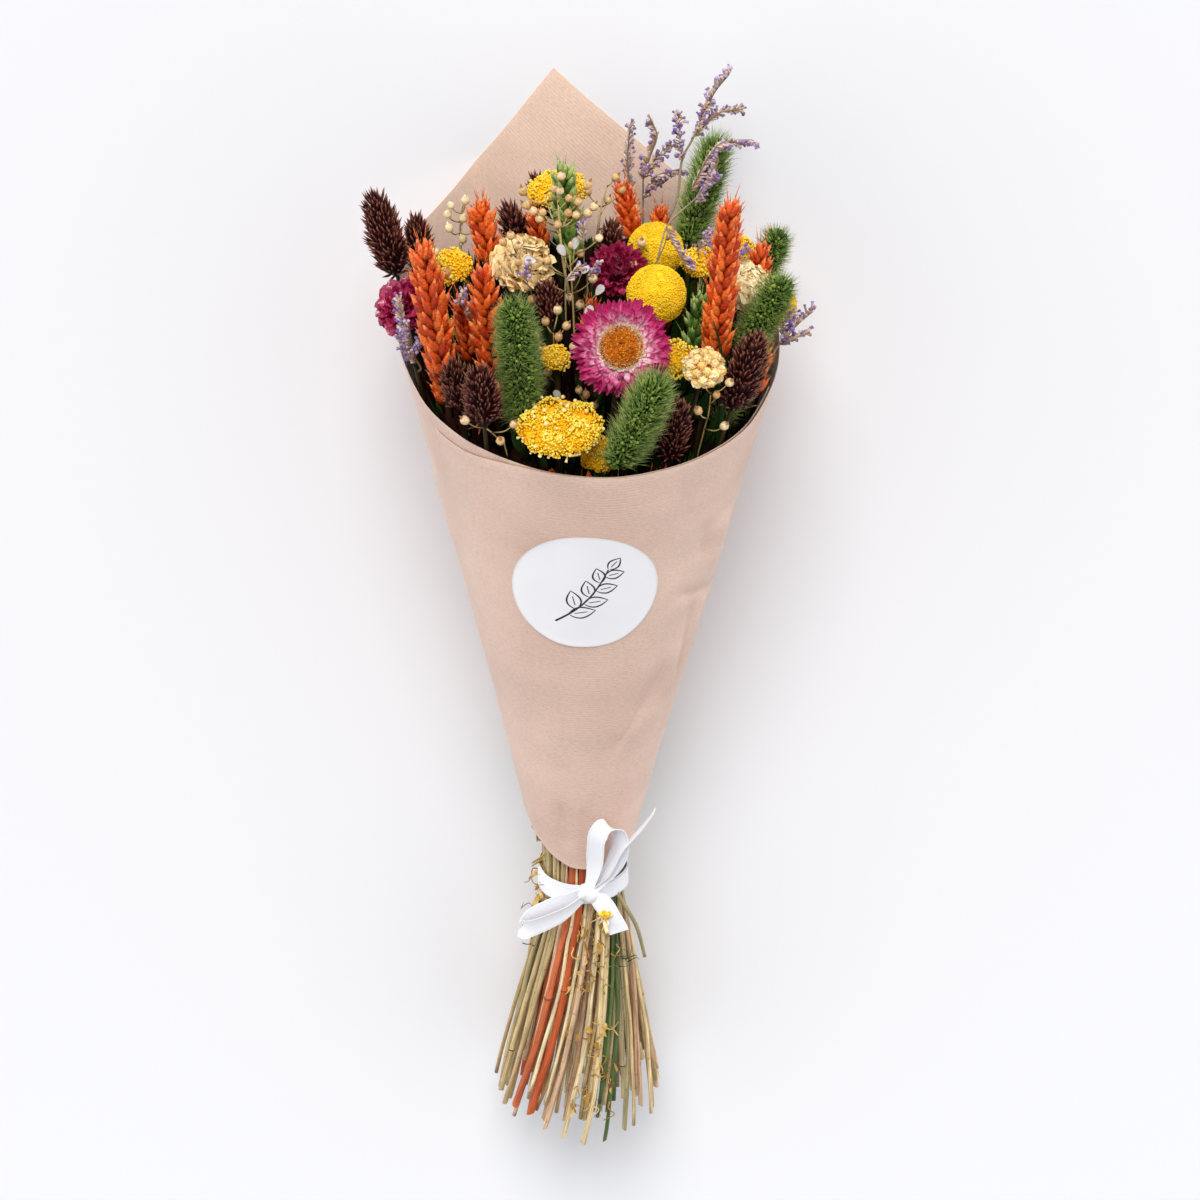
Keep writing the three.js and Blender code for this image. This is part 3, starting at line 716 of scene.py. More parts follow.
# The materials, by the short names that the shapes use.
FINISHES = {
    "kraft": kraft_paper(),
    "label": label_paper(),
    "ink": label_ink(),
    "satin": satin(),
    "membrane": membrane(),
    "floor": pale_floor(),
    "stem_straw": stalk("stem_straw", "b09668 ceb686 e4d0a6", "7e5c3a"),
    "stem_tan": stalk("stem_tan", "aa8466 c8a280 dec09e", "7c4e38"),
    "stem_olive": stalk("stem_olive", "968a62 b6a87c cec296", "624c36"),
    "stem_green": stalk("stem_green", "1e2c1a 3e522e 7e8e54", "2e281a"),
    "stem_orange": stalk("stem_orange", "a8461e c05c32 cc7a54", "8c3e24"),
    # Stems high inside the cone: a near-black finish that is painted shade.
    "stem_painted_shade": stalk("stem_painted_shade", "1a1a0c 2e2612 4c3e20", "1c100a"),
    "stem_joint": organic("stem_joint", "682c22 84422e a6684a", fleck=0.25, size=0.6),
    "stem_pith": organic("stem_pith", "d6c69c ece0be", fleck=0.2, size=0.5),
    # A stem's hollow end: the dark colour is painted shade in the bore.
    "stem_hollow_painted_shade": organic("stem_hollow_painted_shade", "463622 604e32", fleck=0.3, size=0.5),
    # Wheat florets: the darker base is painted shade where florets overlap; the lighter tip is partly real
    # colour, partly painted light.
    "wheat_orange": organic("wheat_dyed_orange", "ac2e08 d44c10 ee7028", base="842408", tip="f08442",
                            base_end=0.5, tip_start=0.74, fleck=0.3, size=0.9, streak=True,
                            roughness=0.42, bump=0.5, **GLOSS),
    "wheat_green": organic("wheat_green", "32561a 648a34 a4ba60", base="3c581e", tip="aaba6c",
                           fleck=0.28, size=0.9, streak=True, roughness=0.42, bump=0.5, **GLOSS),
    "canary": organic("canary_aubergine", "280d0f 441b1c 743c32", base="220d0d", tip="925c48",
                      tip_start=0.74, fleck=0.3, size=0.7, streak=True, roughness=0.42, bump=0.4),
    "foxtail": organic("foxtail_seed", "243a0e 5a7c24 a0ba54", base="122408", fleck=0.3, size=0.6,
                       roughness=0.55),
    "bristle": organic("foxtail_bristle", "2c4812 567422 98ae52", base="142808", tip="bac678",
                       tip_start=0.4, fleck=0.15, size=0.8, roughness=0.4),
    "yarrow": organic("yarrow_floret", "f6b00a ffce1c ffe658", base="ec9e0c", base_end=0.5, fleck=0.2,
                      size=0.45, bump=0.6, roughness=0.75),
    "yarrow_pale": organic("yarrow_seed_floret", "fcda74 fff0b8", base="f8c43c", base_end=0.6,
                           fleck=0.2, size=0.4, roughness=0.75),
    "yarrow_stalk": organic("yarrow_stalk", "a0925c cebc88 e8d8aa", fleck=0.2, size=0.8, streak=True),
    "craspedia": organic("craspedia_floret", "ecba10 fad022 ffe042", base="e2ac0e", base_end=0.6,
                         fleck=0.18, size=0.5, bump=0.5, roughness=0.8),
    "pink_petal": organic("strawflower_pink", "ffe2ec f8a2c6 e23a84 ba105e", base="fff6f6",
                          base_end=0.66, tip="9c044a", tip_start=0.54, fleck=0.18, size=0.6,
                          streak=True, roughness=0.34, bump=0.35, **GLOSS),
    "plum_petal": organic("strawflower_plum", "600622 9c0e3c e25480", base="780e30", tip="921442",
                          fleck=0.24, size=0.6, streak=True, roughness=0.22, bump=0.35, specular=0.7),
    "disk": organic("strawflower_disk", "8e4005 c66e0c eaa228", base="783808", fleck=0.3, size=0.4,
                    roughness=0.8, bump=0.6),
    "fuzz": organic("strawflower_fuzz", "d8b27a f6e0b8", base="c89258", fleck=0.2, size=0.6,
                    roughness=0.8),
    # Cream petals: the deep warm base is painted shade between the crumpled petals.
    "cream_petal": organic("cream_petal", "fad08c ffe6ac fff4ce", base="dc9e54", base_end=0.6,
                           tip="ffeab8", tip_start=0.85, fleck=0.1, size=0.9, streak=True,
                           roughness=0.8, bump=0.2, specular=0.06),
    "bud": organic("cream_bud", "f4c676 ffe2a2 fff4ce", base="e2a854", fleck=0.16, size=0.6,
                   streak=True, roughness=0.5),
    "bud_heart": organic("bud_heart", "f0be54 fcda82", fleck=0.25, size=0.4),
    "statice_twig": organic("statice_twig", "84745c a8967c", fleck=0.2, size=0.7, roughness=0.7),
    "calyx": organic("statice_calyx", "9e7e6c c4a690 e0cec2", base="84684e", fleck=0.18, size=0.5,
                     roughness=0.6),
    "floret": organic("statice_floret", "765692 987ab8 cab6d8", base="684c82", fleck=0.15, size=0.5,
                      roughness=0.6),
    "pod": organic("flax_pod", "c6985e e0ba82 f0d4a6", base="a67a46", tip="96683e", tip_start=0.88,
                   fleck=0.2, size=0.9, streak=True, roughness=0.38, bump=0.25, **GLOSS),
    "pod_pale": organic("flax_pod_pale", "d6c48c e8daaa f0e6be", base="b8a870", fleck=0.16, size=0.9,
                        roughness=0.5),
    "pod_twig": organic("flax_twig", "967c44 b89e62 d2bc86", base="2c2410", base_end=0.55, fleck=0.2,
                        size=0.8, roughness=0.6),
    "blade": organic("green_blade", "142c10 2a4a1a 5c7c34", base="243014", fleck=0.2, size=0.8,
                     streak=True, roughness=0.45),
    # Dark leaves: real dry scraps on the stems, and painted shade where they fill the cone.
    "dark_leaf": organic("dark_leaf", "1a0a08 2e140e 4e2a1a", fleck=0.3, size=0.9, roughness=0.6),
    "gold_leaf": organic("dry_leaf", "966e2c c29848 dec078", tip="9c6c36", fleck=0.25, size=0.8,
                         roughness=0.6),
}

# The stems


def direction(side, front):
    """The way of a stalk that leans to the right and to the front, in degrees."""
    return unit((math.tan(math.radians(side)), -math.tan(math.radians(front)), 1.0))


def read_stalks():
    """The stalks of the CAD, each with the place where it crosses the waist."""
    stalks = []
    for kind, places in HEADS.items():
        slot, *radii = KINDS[kind]
        for i, (x, y, z, side, front, length, width) in enumerate(places):
            axis = direction(side, front)
            neck = np.array((x, y, z)) - axis * length / 2
            across = neck[0] - axis_x(neck[2])
            stalks.append(
                {
                    "kind": kind,
                    "slot": slot,
                    "number": i + 1,
                    "name": f"{kind}_{i + 1:02d}",
                    "axis": axis,
                    "neck": neck,
                    "length": length,
                    "width": width,
                    "angle": math.atan2(across, neck[1]),
                    "reach": math.hypot(across, neck[1]) / float(bundle_radius(neck[2])),
                    "radii": radii,
                    "cut": CUT_Z + CUT_SPREAD * ((i * 7) % 5) / 4,
                }
            )
    by_reach = sorted(stalks, key=lambda s: -s["reach"])
    taken = 0
    for reach, count in RINGS:
        ring = sorted(by_reach[taken : taken + count], key=lambda s: s["angle"])
        taken += count
        spacing = TAU / len(ring)
        offset = sum(s["angle"] - i * spacing for i, s in enumerate(ring)) / len(ring)
        for i, s in enumerate(ring):
            s["waist_angle"] = offset + i * spacing + SPIRAL_ABOVE
            s["waist_reach"] = reach
    return stalks


def stem_radius(s, z):
    thinned = np.clip((z - WAIST_Z) / (s["neck"][2] - WAIST_Z), 0, 1)
    return lerp(s["radii"][0], s["radii"][1], thinned)


def stem_points(s, z):
    """The stem's middle line, which spirals through the waist and lies on the table or the paper."""
    climb = np.clip((z - WAIST_Z) / (s["neck"][2] - WAIST_Z), 0, 1)
    share = (climb + smoothstep(climb)) / 2
    turn = s["angle"] - s["waist_angle"]
    turn -= TAU * round(turn / TAU)
    angle = s["waist_angle"] + turn * share + SPIRAL_BELOW * np.maximum(0, WAIST_Z - z) / WAIST_Z
    radius = lerp(s["waist_reach"], s["reach"], share) * bundle_radius(z)
    on_table = rest_y(z) - stem_radius(s, z)
    lowest = np.where(z < PAPER_BOTTOM, on_table, on_table - PAPER_THICK - GAP)
    y = np.minimum(radius * np.cos(angle), lowest)
    return np.stack([axis_x(z) + radius * np.sin(angle), y, z], -1)


STEM_SIDES = 9
# The rings of points round a joint, by their distance from it.
JOINT_RINGS = np.array([-2.6, -1.1, -0.35, 0.35, 1.1, 2.6])
# Half the fan's width at the cut ends, and the y that divides its front from what is behind.
FAN_HALF, FAN_FRONT = 38, 4
# Above this height the stems take a near-black finish, painted shade inside the cone.
PAINTED_SHADE_Z = 240
# The stems' colours from left to right across the cut ends: up to which share of the fan's width,
# those in front and those behind.
FAN = (
    (0.05, ("stem_straw", "stem_tan"), ("stem_olive", "stem_straw")),
    (0.27, ("stem_orange",), ("stem_tan", "stem_olive", "stem_straw")),
    (0.36, ("stem_straw", "stem_tan"), ("stem_orange", "stem_straw")),
    (0.6, ("stem_straw", "stem_tan", "stem_straw"), ("stem_olive", "stem_straw")),
    (0.72, ("stem_straw", "stem_green"), ("stem_green",)),
    (0.8, ("stem_olive", "stem_straw"), ("stem_green", "stem_olive")),
    (1.1, ("stem_tan", "stem_straw", "stem_straw"), ("stem_tan", "stem_olive", "stem_straw")),
)
# How thick each kind is drawn below the waist, as shares of its round stock.
THINNED = {"stem_orange": (0.8, 1.0), "stem_straw": (0.66, 0.9), "stem_tan": (0.62, 0.86),
           "stem_olive": (0.46, 0.7), "stem_green": (0.46, 0.66)}


def fan_colour(s, at):
    """The stem's material, by where its cut end lies in the fan."""
    share = (at[0] - axis_x(at[2]) + FAN_HALF) / (2 * FAN_HALF)
    for limit, front, behind in FAN:
        if share < limit:
            names = front if at[1] < FAN_FRONT else behind
            return names[s["number"] % len(names)]
    return "stem_straw"


def add_cut_end(shape, ring, middle, rng):
    """A pale rim, then a hollow painted dark as its shade, or pale pith."""
    hollow = rng.random() < 0.5
    edge = lerp(middle, ring, 0.62)
    floor = lerp(middle, ring, 0.5) + (0, 0, 1.6 if hollow else 0.25)
    rim = np.array([edge, ring])
    shape.add(rim, grid_faces(2, STEM_SIDES, closed=True), "stem_pith", rng.random(), 0.5)
    well, faces, _ = skin(np.array([floor, edge]), bottom=floor.mean(0))
    shape.add(well, faces, "stem_hollow_painted_shade" if hollow else "stem_pith", rng.random() * 0.5, 0.5)


def add_stem(shape, s, rng, material):
    """A tapered, slightly uneven stem, most often with a joint, and its cut end."""
    joints = [rng.uniform(15, 100)] if rng.random() < 0.6 else []
    low = np.linspace(s["cut"], WAIST_Z - WAIST_HALF, 22)
    for joint in joints:
        low = np.sort(np.append(low, joint + JOINT_RINGS))
    low = low[low >= s["cut"]]
    high = np.linspace(WAIST_Z - WAIST_HALF, s["neck"][2], 22)[1:]
    z = np.concatenate([low, high])
    centre = stem_points(s, z)
    sprig = s["kind"] in ("statice", "flax")
    into = s["neck"] + s["axis"] * (1.5 if sprig else STEM_INTO_HEAD * s["length"])
    centre = np.concatenate([centre, [into]])
    radius = np.append(stem_radius(s, z), s["radii"][1])
    z = np.append(z, into[2])
    radius = radius * (0.87 + 0.07 * lumps(centre, 31, s["number"] + 11))
    radius = radius * lerp(rng.uniform(*THINNED[material]), 1.0, smoothstep(z, 140, 220))
    radius = radius * lerp(rng.uniform(0.86, 1.0), 1.0, smoothstep(z, 0, WAIST_Z))
    for joint in joints:
        radius = radius * (1 + 0.28 * np.exp(-(((z - joint) / 1.1) ** 2)))
    sway = np.stack([lumps(centre, 47, s["number"] + 3), lumps(centre, 53, s["number"] + 5), 0 * z], -1)
    fade = smoothstep(np.abs(z - WAIST_Z), 12, 40) * (z < s["neck"][2] - 20)
    centre = centre + 0.34 * sway * fade[:, None]
    angle = TAU * np.arange(STEM_SIDES) / STEM_SIDES
    ring = around(angle)
    rings = centre[:, None] + radius[:, None, None] * ring
    slant = rng.uniform(-0.8, 0.8, 2)
    rings[0, :, 2] += radius[0] * (ring[:, 0] * slant[0] + ring[:, 1] * slant[1])
    seed = rng.uniform(0, 50)
    along = np.repeat(np.linspace(0, 1, len(z)), STEM_SIDES)
    across = (radius[:, None] * np.minimum(angle, TAU - angle)).ravel()
    grain = np.stack([across, np.repeat(z, STEM_SIDES), np.full(len(along), seed)], -1)
    tone = rng.uniform(0.1, 0.9)
    faces = grid_faces(len(z), STEM_SIDES, closed=True)
    middle = ((z[:-1] + z[1:]) / 2)[np.tile(np.arange((len(z) - 1) * STEM_SIDES), 2) // STEM_SIDES]
    ringed = sum((np.abs(middle - joint) < 0.6 for joint in joints), np.zeros(len(faces), bool))
    # Faces above that height get the dark finish, painted shade inside the cone.
    inside = middle > PAINTED_SHADE_Z
    parts = ((~ringed & ~inside, material), (inside, "stem_painted_shade"), (ringed & ~inside, "stem_joint"))
    for chosen, name in parts:
        if chosen.any():
            shape.add(rings, faces[chosen], name, tone, along, grain)
    add_cut_end(shape, rings[0], centre[0], rng)


# The heads, along +z from z = 0

FLORET = husk(
    [(0, 0.4), (0.14, 0.84), (0.32, 1.06), (0.54, 1.0), (0.74, 0.7), (0.9, 0.3)], 6, keel=0.35, bend=0.12
)
BRACT = husk([(0, 0.4), (0.22, 0.95), (0.5, 0.95), (0.8, 0.42)], 4, keel=0.35, bend=0.06)
AWN = husk([(0, 1.0), (0.5, 0.7)], 3, bend=0.04)
HAIR = husk([(0, 1.0)], 3)
CALYX = husk([(0, 0.25), (0.5, 0.6), (0.95, 1.0)], 5)
SEED = ball(3, 6)
BEAD = ball(4, 8)
LOBED = ball(5, 10, lobes=5, lobe=0.22)
POD = ball(6, 10, lobes=5, lobe=0.04, tip=0.34)
TINY = ball(2, 5)
RAY = leaf([0.5, 0.78, 0.96, 1.0, 0.94, 0.7, 0.18], cup=0.4, bend=0.14, columns=4)
CUPPED = leaf([0.5, 0.84, 1.0, 1.05, 0.98, 0.74, 0.28], cup=0.55, bend=-0.3, columns=5)
SCALE = leaf([0.4, 0.9, 1.0, 0.75, 0.2], cup=0.5, bend=-0.4, columns=4)
BLADE = leaf([0.5, 0.9, 1.0, 0.9, 0.7, 0.4, 0.04], cup=0.45, bend=0.25, columns=3, twist=0.8)
CREAM_WIDTHS = (0.35, 0.66, 0.9, 1.06, 1.1, 1.0, 0.66)
RUFFLED = [
    leaf(CREAM_WIDTHS, cup=0.25, bend=0.1, columns=19, ruffle=0.34, waves=waves, twist=0.3)
    for waves in (1.4, 1.9, 2.5)
]

# The florets of a wheat spikelet: how far round it each sits and how far it leans out, in degrees.
SPIKELET = ((-74, 19), (-34, 27), (34, 27), (74, 19))


def wheat(s, rng):
    """Spikelets by turns on the left and right of the stalk, each of four pointed florets."""
    shape = Shape()
    length, width, material = s["length"], s["width"], s["kind"]
    tube(shape, [(0, 0, -1), (0, 0, length * 0.5), (0, 0, length * 0.92)], (1.3, 1.1, 0.5), material, 5)
    floret = 0.5 * width + 4.4
    span = length - floret * 0.85
    count = max(5, int(span / (0.235 * floret)))
    loose = 1.3 if s["name"] == "wheat_orange_09" else 2.4
    # The second green ear keeps to the darker tones, as painted shade.
    pale = 0.4 if s["name"] == "wheat_green_02" else 1.0
    reach = max(0.9, width / 2 - floret * 0.45)
    whole = np.array([0.19 * width + 1.05, 0.16 * width + 0.6, floret])
    florets = []

    def place(where, way, away, grow, awn):
        size = whole * grow * rng.uniform(0.88, 1.12)
        florets.append((where, way, away, size, pale * rng.random(), awn))

    for i in range(count):
        share = i / (count - 1)
        side = 1 if i % 2 else -1
        grow = 0.82 + 0.18 * math.sin(math.pi * min(1, 0.2 + share * 0.75)) - 0.12 * share**3
        for turn, tilt in SPIKELET:
            tilt = math.radians(tilt + rng.normal(0, 2.6 * loose) - 3 * share)
            turn = math.radians(turn + rng.normal(0, 3 * loose))
            away = np.array([side * math.cos(turn), math.sin(turn), 0])
            lean = unit(np.array([0.8 * side, 0, 0]) + 0.35 * away)
            way = lean * math.sin(tilt) + np.array([0, 0, math.cos(tilt)])
            where = away * reach * grow + (0, 0, share * span + rng.normal(0, 0.2 * loose))
            awn = rng.uniform(0.8, 2.6) if rng.random() < 0.8 else rng.uniform(3, 7)
            place(where, way, away, grow, awn)
    for turn in (0.3, 2.4, 4.5):
        away = np.array([math.cos(turn), math.sin(turn), 0])
        place(away * 0.6 + (0, 0, span), away * 0.12 + (0, 0, 1), away, 0.82, rng.uniform(3, 9))
    at, ahead, out, size, tones, awns = map(np.array, zip(*florets))
    scatter(shape, FLORET, at, ahead, out, size, material, tones)
    tips = at + unit(ahead) * size[:, 2:] * 0.95 + unit(out) * size[:, 1:2] * 0.08
    scatter(shape, AWN, tips, unit(ahead) + 0.12 * out, out, sized(0.55, awns), material, 0.9)
    return shape


def canary(s, rng):
    """An egg-shaped head of sharp, keeled bracts that lean outwards."""
    shape = Shape()
    length, width = s["length"], s["width"]
    bract = 6.2 if width > 13 else 5.2
    top = length - bract * 0.75
    r = width / 2 - bract * 0.48
    profile = [(0.4 * r, 0), (0.85 * r, top * 0.12), (r, top * 0.35), (0.95 * r, top * 0.65)]
    profile += [(0.6 * r, top * 0.9), (0.1, top)]
    turned_body(shape, [(p[0] * 0.85, p[1]) for p in profile], 10, "canary", 0.1)
    count = int(0.46 * length * width)
    at, normal, t = spread(profile, count, rng.uniform(0, 6))
    lean = np.radians(rng.normal(38, 11, count))[:, None] * (1 - 0.5 * t[:, None] ** 2)
    ahead = normal * np.sin(lean) + UP * np.cos(lean)
    ahead = ahead + rng.normal(0, 0.12, (count, 3))
    wide, deep = rng.uniform(1.0, 1.5, count), rng.uniform(0.7, 1.0, count)
    size = np.stack([wide, deep, bract * rng.uniform(0.75, 1.25, count)], -1)
    scatter(shape, BRACT, at - normal * 0.6, ahead, normal, size, "canary", rng.random(count))
    return shape


# Which foxtail hangs over the rim, and how much longer and thicker some heads' bristles are.
HANGING_FOXTAIL = 2
SHAGGY = {HANGING_FOXTAIL: 1.8, 3: 1.4, 6: 1.2}


def foxtail(s, rng):
    """A soft cylinder of small seeds among long fine bristles."""
    shape = Shape()
    length, width = s["length"], s["width"]
    r = width / 2 - 2.9
    profile = [(0.45 * r, 0), (0.85 * r, length * 0.08), (r, length * 0.3), (0.97 * r, length * 0.7)]
    profile += [(0.7 * r, length * 0.9), (0.1, length - 1)]
    profile = [(x * (1 + 0.05 * math.sin(5 * i)), z) for i, (x, z) in enumerate(profile)]
    turned_body(shape, [(p[0] * 0.9, p[1]) for p in profile], 12, "foxtail", 0.0)
    count = int(0.7 * length * width)
    at, normal, _ = spread(profile, count, rng.uniform(0, 6))
    at = at + rng.normal(0, 0.25, (count, 3))
    seeds = rng.uniform(1.1, 1.9, count)
    at = at - normal * rng.uniform(-0.2, 0.7, (count, 1))
    tone = rng.random(count) ** 1.3
    scatter(shape, SEED, at, normal + 0.7 * UP, normal, sized(seeds, seeds * 1.3), "foxtail", tone)
    shaggy = SHAGGY.get(s["number"], 0.0)
    hairs = int(count * (4.4 - 0.6 * shaggy))
    at, normal, _ = spread(profile, hairs, rng.uniform(0, 6))
    at = at + rng.normal(0, 0.3, (hairs, 3)) - normal * 0.3
    ahead = normal + UP * (rng.uniform(0.1, 0.8, (hairs, 1)) + 0.4 * shaggy)
    ahead = ahead + rng.normal(0, 0.24, (hairs, 3))
    size = sized(0.34 + 0.05 * shaggy, rng.uniform(4.2, 7.8, hairs) * (1 + 0.2 * shaggy))
    scatter(shape, HAIR, at, ahead, normal, size, "bristle", rng.random(hairs))
    # The head bows over to one side.
    bow = 5.5 if s["number"] == HANGING_FOXTAIL else 1.5
    for chunk in shape.chunks:
        points = chunk[0]
        points[:, 0] -= bow * ((1 - points[:, 2] / length) ** 2 - 0.2)
    return shape


def yarrow(s, rng):
    """A knobbly dome of fine florets in small rounded groups, on thin stalks from the neck."""
    shape = Shape()
    length, r = s["length"], s["width"] / 2 - 0.9
    top = length - 1.6
    big = s["width"] > 30
    profile = [(r * 0.86, top * 0.4), (r, top * 0.58), (r * 0.93, top * 0.76), (r * 0.7, top * 0.9)]
    profile += [(r * 0.35, top * 0.985), (0.05, top)]
    body = [(r * 0.5, top * 0.3), (r * 0.8, top * 0.4), (r * 0.92, top * 0.58), (r * 0.85, top * 0.74)]
    turned_body(shape, body + [(r * 0.6, top * 0.87), (0.1, top * 0.95)], 16, "yarrow", 0.35)
    groups, out, _ = spread(profile, int(r * r / 4.6) + 6, rng.uniform(0, 6))
    groups = groups + rng.normal(0, 0.6, groups.shape)
    tall = rng.uniform(0.9, 2.0, len(groups))
    count = int(5.2 * r * r) + 60
    at, normal, _ = spread(profile, count, rng.uniform(0, 6))
    at = at + rng.normal(0, 0.25, at.shape)
    gap = np.linalg.norm(at[:, None] - groups[None], axis=-1)
    near = gap.argmin(1)
    rise = tall[near] * np.sqrt(np.maximum(0, 1 - (gap.min(1) / 2.9) ** 2))
    uneven = 1.1 if big else 0.6
    rise = rise + uneven * lumps(at, 12, s["number"])
    at = at + normal * (rise - 1.2)[:, None]
    wide = rng.uniform(0.85, 1.5, count)
    # Painted shade and light: florets low between the groups are darker, raised ones lighter.
    tone = np.clip(0.3 + 0.36 * rise + rng.normal(0, 0.16, count), 0, 1)
    ahead = normal + rng.normal(0, 0.2, (count, 3))
    scatter(shape, TINY, at, ahead, rng.normal(size=(count, 3)), sized(wide, wide), "yarrow", tone)
    # Pale florets where a group has opened, and round the underside of the large head.
    opened = rng.random(len(groups)) < (0.6 if big else 0.1)
    count = int(opened.sum())
    if count:
        lift = tall + uneven * lumps(groups, 12, s["number"]) - 0.75
        at = groups[opened] + (out * lift[:, None])[opened] + rng.normal(0, 0.4, (count, 3))
        back, wide = rng.normal(size=(count, 3)), rng.uniform(1.3, 2.1, count)
        scatter(shape, LOBED, at, out[opened], back, sized(wide, wide), "yarrow_pale", rng.random(count))
    if big:
        count = 90
        away = around(rng.uniform(0, TAU, count))
        at = away * (r * rng.uniform(0.7, 0.94, (count, 1)))
        at = at + UP * (top * rng.uniform(0.3, 0.46, (count, 1)))
        ahead = away * 0.8 + rng.normal(0, 0.4, (count, 3)) - UP * 0.5
        wide = rng.uniform(0.9, 1.5, count)
        scatter(shape, CALYX, at, ahead, away, sized(wide, 2 * wide), "yarrow_pale", rng.random(count))
    for i in range(min(30, 9 + int(1.2 * r))):
        turn, far = i * GOLDEN, r * rng.uniform(0.5, 0.92)
        end = (far * math.cos(turn), far * math.sin(turn), top * 0.5)
        path = curve([(0, 0, -1.5), (end[0] * 0.45, end[1] * 0.45, top * 0.12), end], 5)
        tube(shape, path, (0.6, 0.5, 0.42, 0.4, 0.5), "yarrow_stalk", 4, rng.random())
    return shape


def craspedia(s, rng):
    """A ball packed with tiny florets."""
    shape = Shape()
    r = s["width"] / 2
    polar = np.linspace(math.pi, 0, 25)[1:-1]
    profile = [(r * math.sin(a), r + r * math.cos(a)) for a in polar]
    inner = [(p * 0.95, r + (q - r) * 0.95) for p, q in profile]
    turned_body(shape, inner, 32, "craspedia", 0.45)
    count = int(4 * math.pi * r * r / 1.02)
    at, normal, _ = spread(profile, count)
    at = at + rng.normal(0, 0.22, at.shape)
    normal = unit(at - (0, 0, r))
    deep = 1.0 + 0.16 * lumps(at, 5.0, s["number"]) + 0.1 * lumps(at, 2.1, 9) + rng.uniform(0, 0.12, count)
    at = normal * (r - deep)[:, None] + (0, 0, r)
    size = sized(rng.uniform(1.05, 1.4, count), rng.uniform(0.9, 1.1, count))
    ahead = normal + rng.normal(0, 0.1, (count, 3))
    tone = np.clip(0.55 + 0.2 * lumps(at, 4.0, 3) + rng.normal(0, 0.14, count), 0, 1)
    scatter(shape, TINY, at, ahead, rng.normal(size=(count, 3)), size, "craspedia", tone)
    return shape


def ring_of(shape, template, count, radius, height, pitch, size, material, rng, start, tones, loose):
    """Petals round the axis: pitch is their rise from flat, in degrees."""
    angle = start + TAU * np.arange(count) / count + rng.normal(0, 0.06, count)
    away = around(angle)
    rise = np.radians(pitch + rng.normal(0, loose, count))[:, None]
    ahead = away * np.cos(rise) + UP * np.sin(rise)
    back = UP * np.cos(rise) - away * np.sin(rise)
    back = back + rng.normal(0, 0.12, (count, 3))
    size = np.array(size) * rng.uniform(0.86, 1.12, (count, 1))
    tone = rng.uniform(*tones, count)
    scatter(shape, template, away * radius + UP * height, ahead, back, size, material, tone)


def strawflower_open(s, rng):
    """Rings of narrow shiny bracts round a wide disk with a pale fuzzy border."""
    shape = Shape()
    length, r = s["length"], s["width"] / 2
    disk, top = r * 0.45, length * 0.62
    body = [(1.4, 0), (disk * 0.7, length * 0.2), (disk * 1.02, length * 0.42), (disk, top)]
    turned_body(shape, [*body, (disk * 0.6, top + 1.0)], 20, "disk", 0.3)
    # The rings from the inside out: how many, their height, pitch, length and width.
    rings = (
        (36, 0.6, 58, 0.2, 2.0), (42, 0.62, 46, 0.28, 2.2), (46, 0.62, 36, 0.37, 2.5),
        (48, 0.6, 27, 0.46, 2.7), (48, 0.56, 18, 0.53, 2.8), (46, 0.5, 9, 0.57, 2.9),
        (42, 0.42, -1, 0.57, 2.9), (36, 0.32, -13, 0.53, 2.9),
    )
    for i, (count, height, pitch, far, wide) in enumerate(rings):
        low = 0.11 * i
        ring_of(shape, RAY, count, disk * 0.98, top * height / 0.62, pitch, (wide, wide, r * far),
                "pink_petal", rng, i * 0.4, (low, min(1.0, low + 0.45)), 7.0)
    cap = [(disk * 0.98, top - 0.8), (disk * 0.9, top + 0.3), (disk * 0.6, top + 1.0), (0.05, top + 1.2)]
    count = 420
    at, normal, _ = spread(cap, count)
    size = sized(rng.uniform(0.6, 0.95, count), rng.uniform(1.0, 2.4, count))
    ahead, back = normal + rng.normal(0, 0.25, (count, 3)), rng.normal(size=(count, 3))
    scatter(shape, SEED, at - normal * 0.8, ahead, back, size, "disk", rng.random(count))
    for count, far, tall, tilt in ((480, 1.04, 4.4, 1.2), (420, 0.92, 3.4, 0.7), (260, 0.78, 2.2, 0.3)):
        away = around(rng.uniform(0, TAU, count))
        at = away * disk * far * rng.uniform(0.92, 1.06, (count, 1)) + (0, 0, top - 0.2)
        ahead = away * tilt + UP + rng.normal(0, 0.35, (count, 3))
        size = sized(0.42, tall * rng.uniform(0.7, 1.2, count))
        scatter(shape, AWN, at, ahead, away, size, "fuzz", rng.random(count))
    return shape


def strawflower_shut(s, rng):
    """Half-closed dark glossy bracts in rings that close towards the middle."""
    shape = Shape()
    length, r = s["length"], s["width"] / 2
    turned_body(shape, [(1.4, 0), (r * 0.45, length * 0.25), (r * 0.35, length * 0.55), (0.5, length * 0.7)],
                14, "plum_petal", 0.0)
    fine = s["number"] == 2
    # The rings from the inside out: how many, their radius, height, pitch and length.
    rings = (
        (6, 0.04, 0.46, 84, 0.34), (10, 0.13, 0.4, 74, 0.42), (14, 0.22, 0.33, 63, 0.5),
        (18, 0.28, 0.26, 51, 0.58), (22, 0.33, 0.2, 39, 0.64), (24, 0.36, 0.14, 27, 0.68),
        (24, 0.34, 0.1, 14, 0.68), (20, 0.3, 0.06, 1, 0.64),
    )
    for i, (count, near, height, pitch, far) in enumerate(rings):
        wide = (2.3 + 0.16 * i) if fine else (6.8 + 0.15 * i)
        count = int(count * (1.5 if fine else 0.55))
        template = RAY if fine else CUPPED
        ring_of(shape, template, count, r * near, length * height, pitch, (wide, wide, r * far * 1.04),
                "plum_petal", rng, i * 0.5, (0.0, 1.0), 6.0)
    return shape


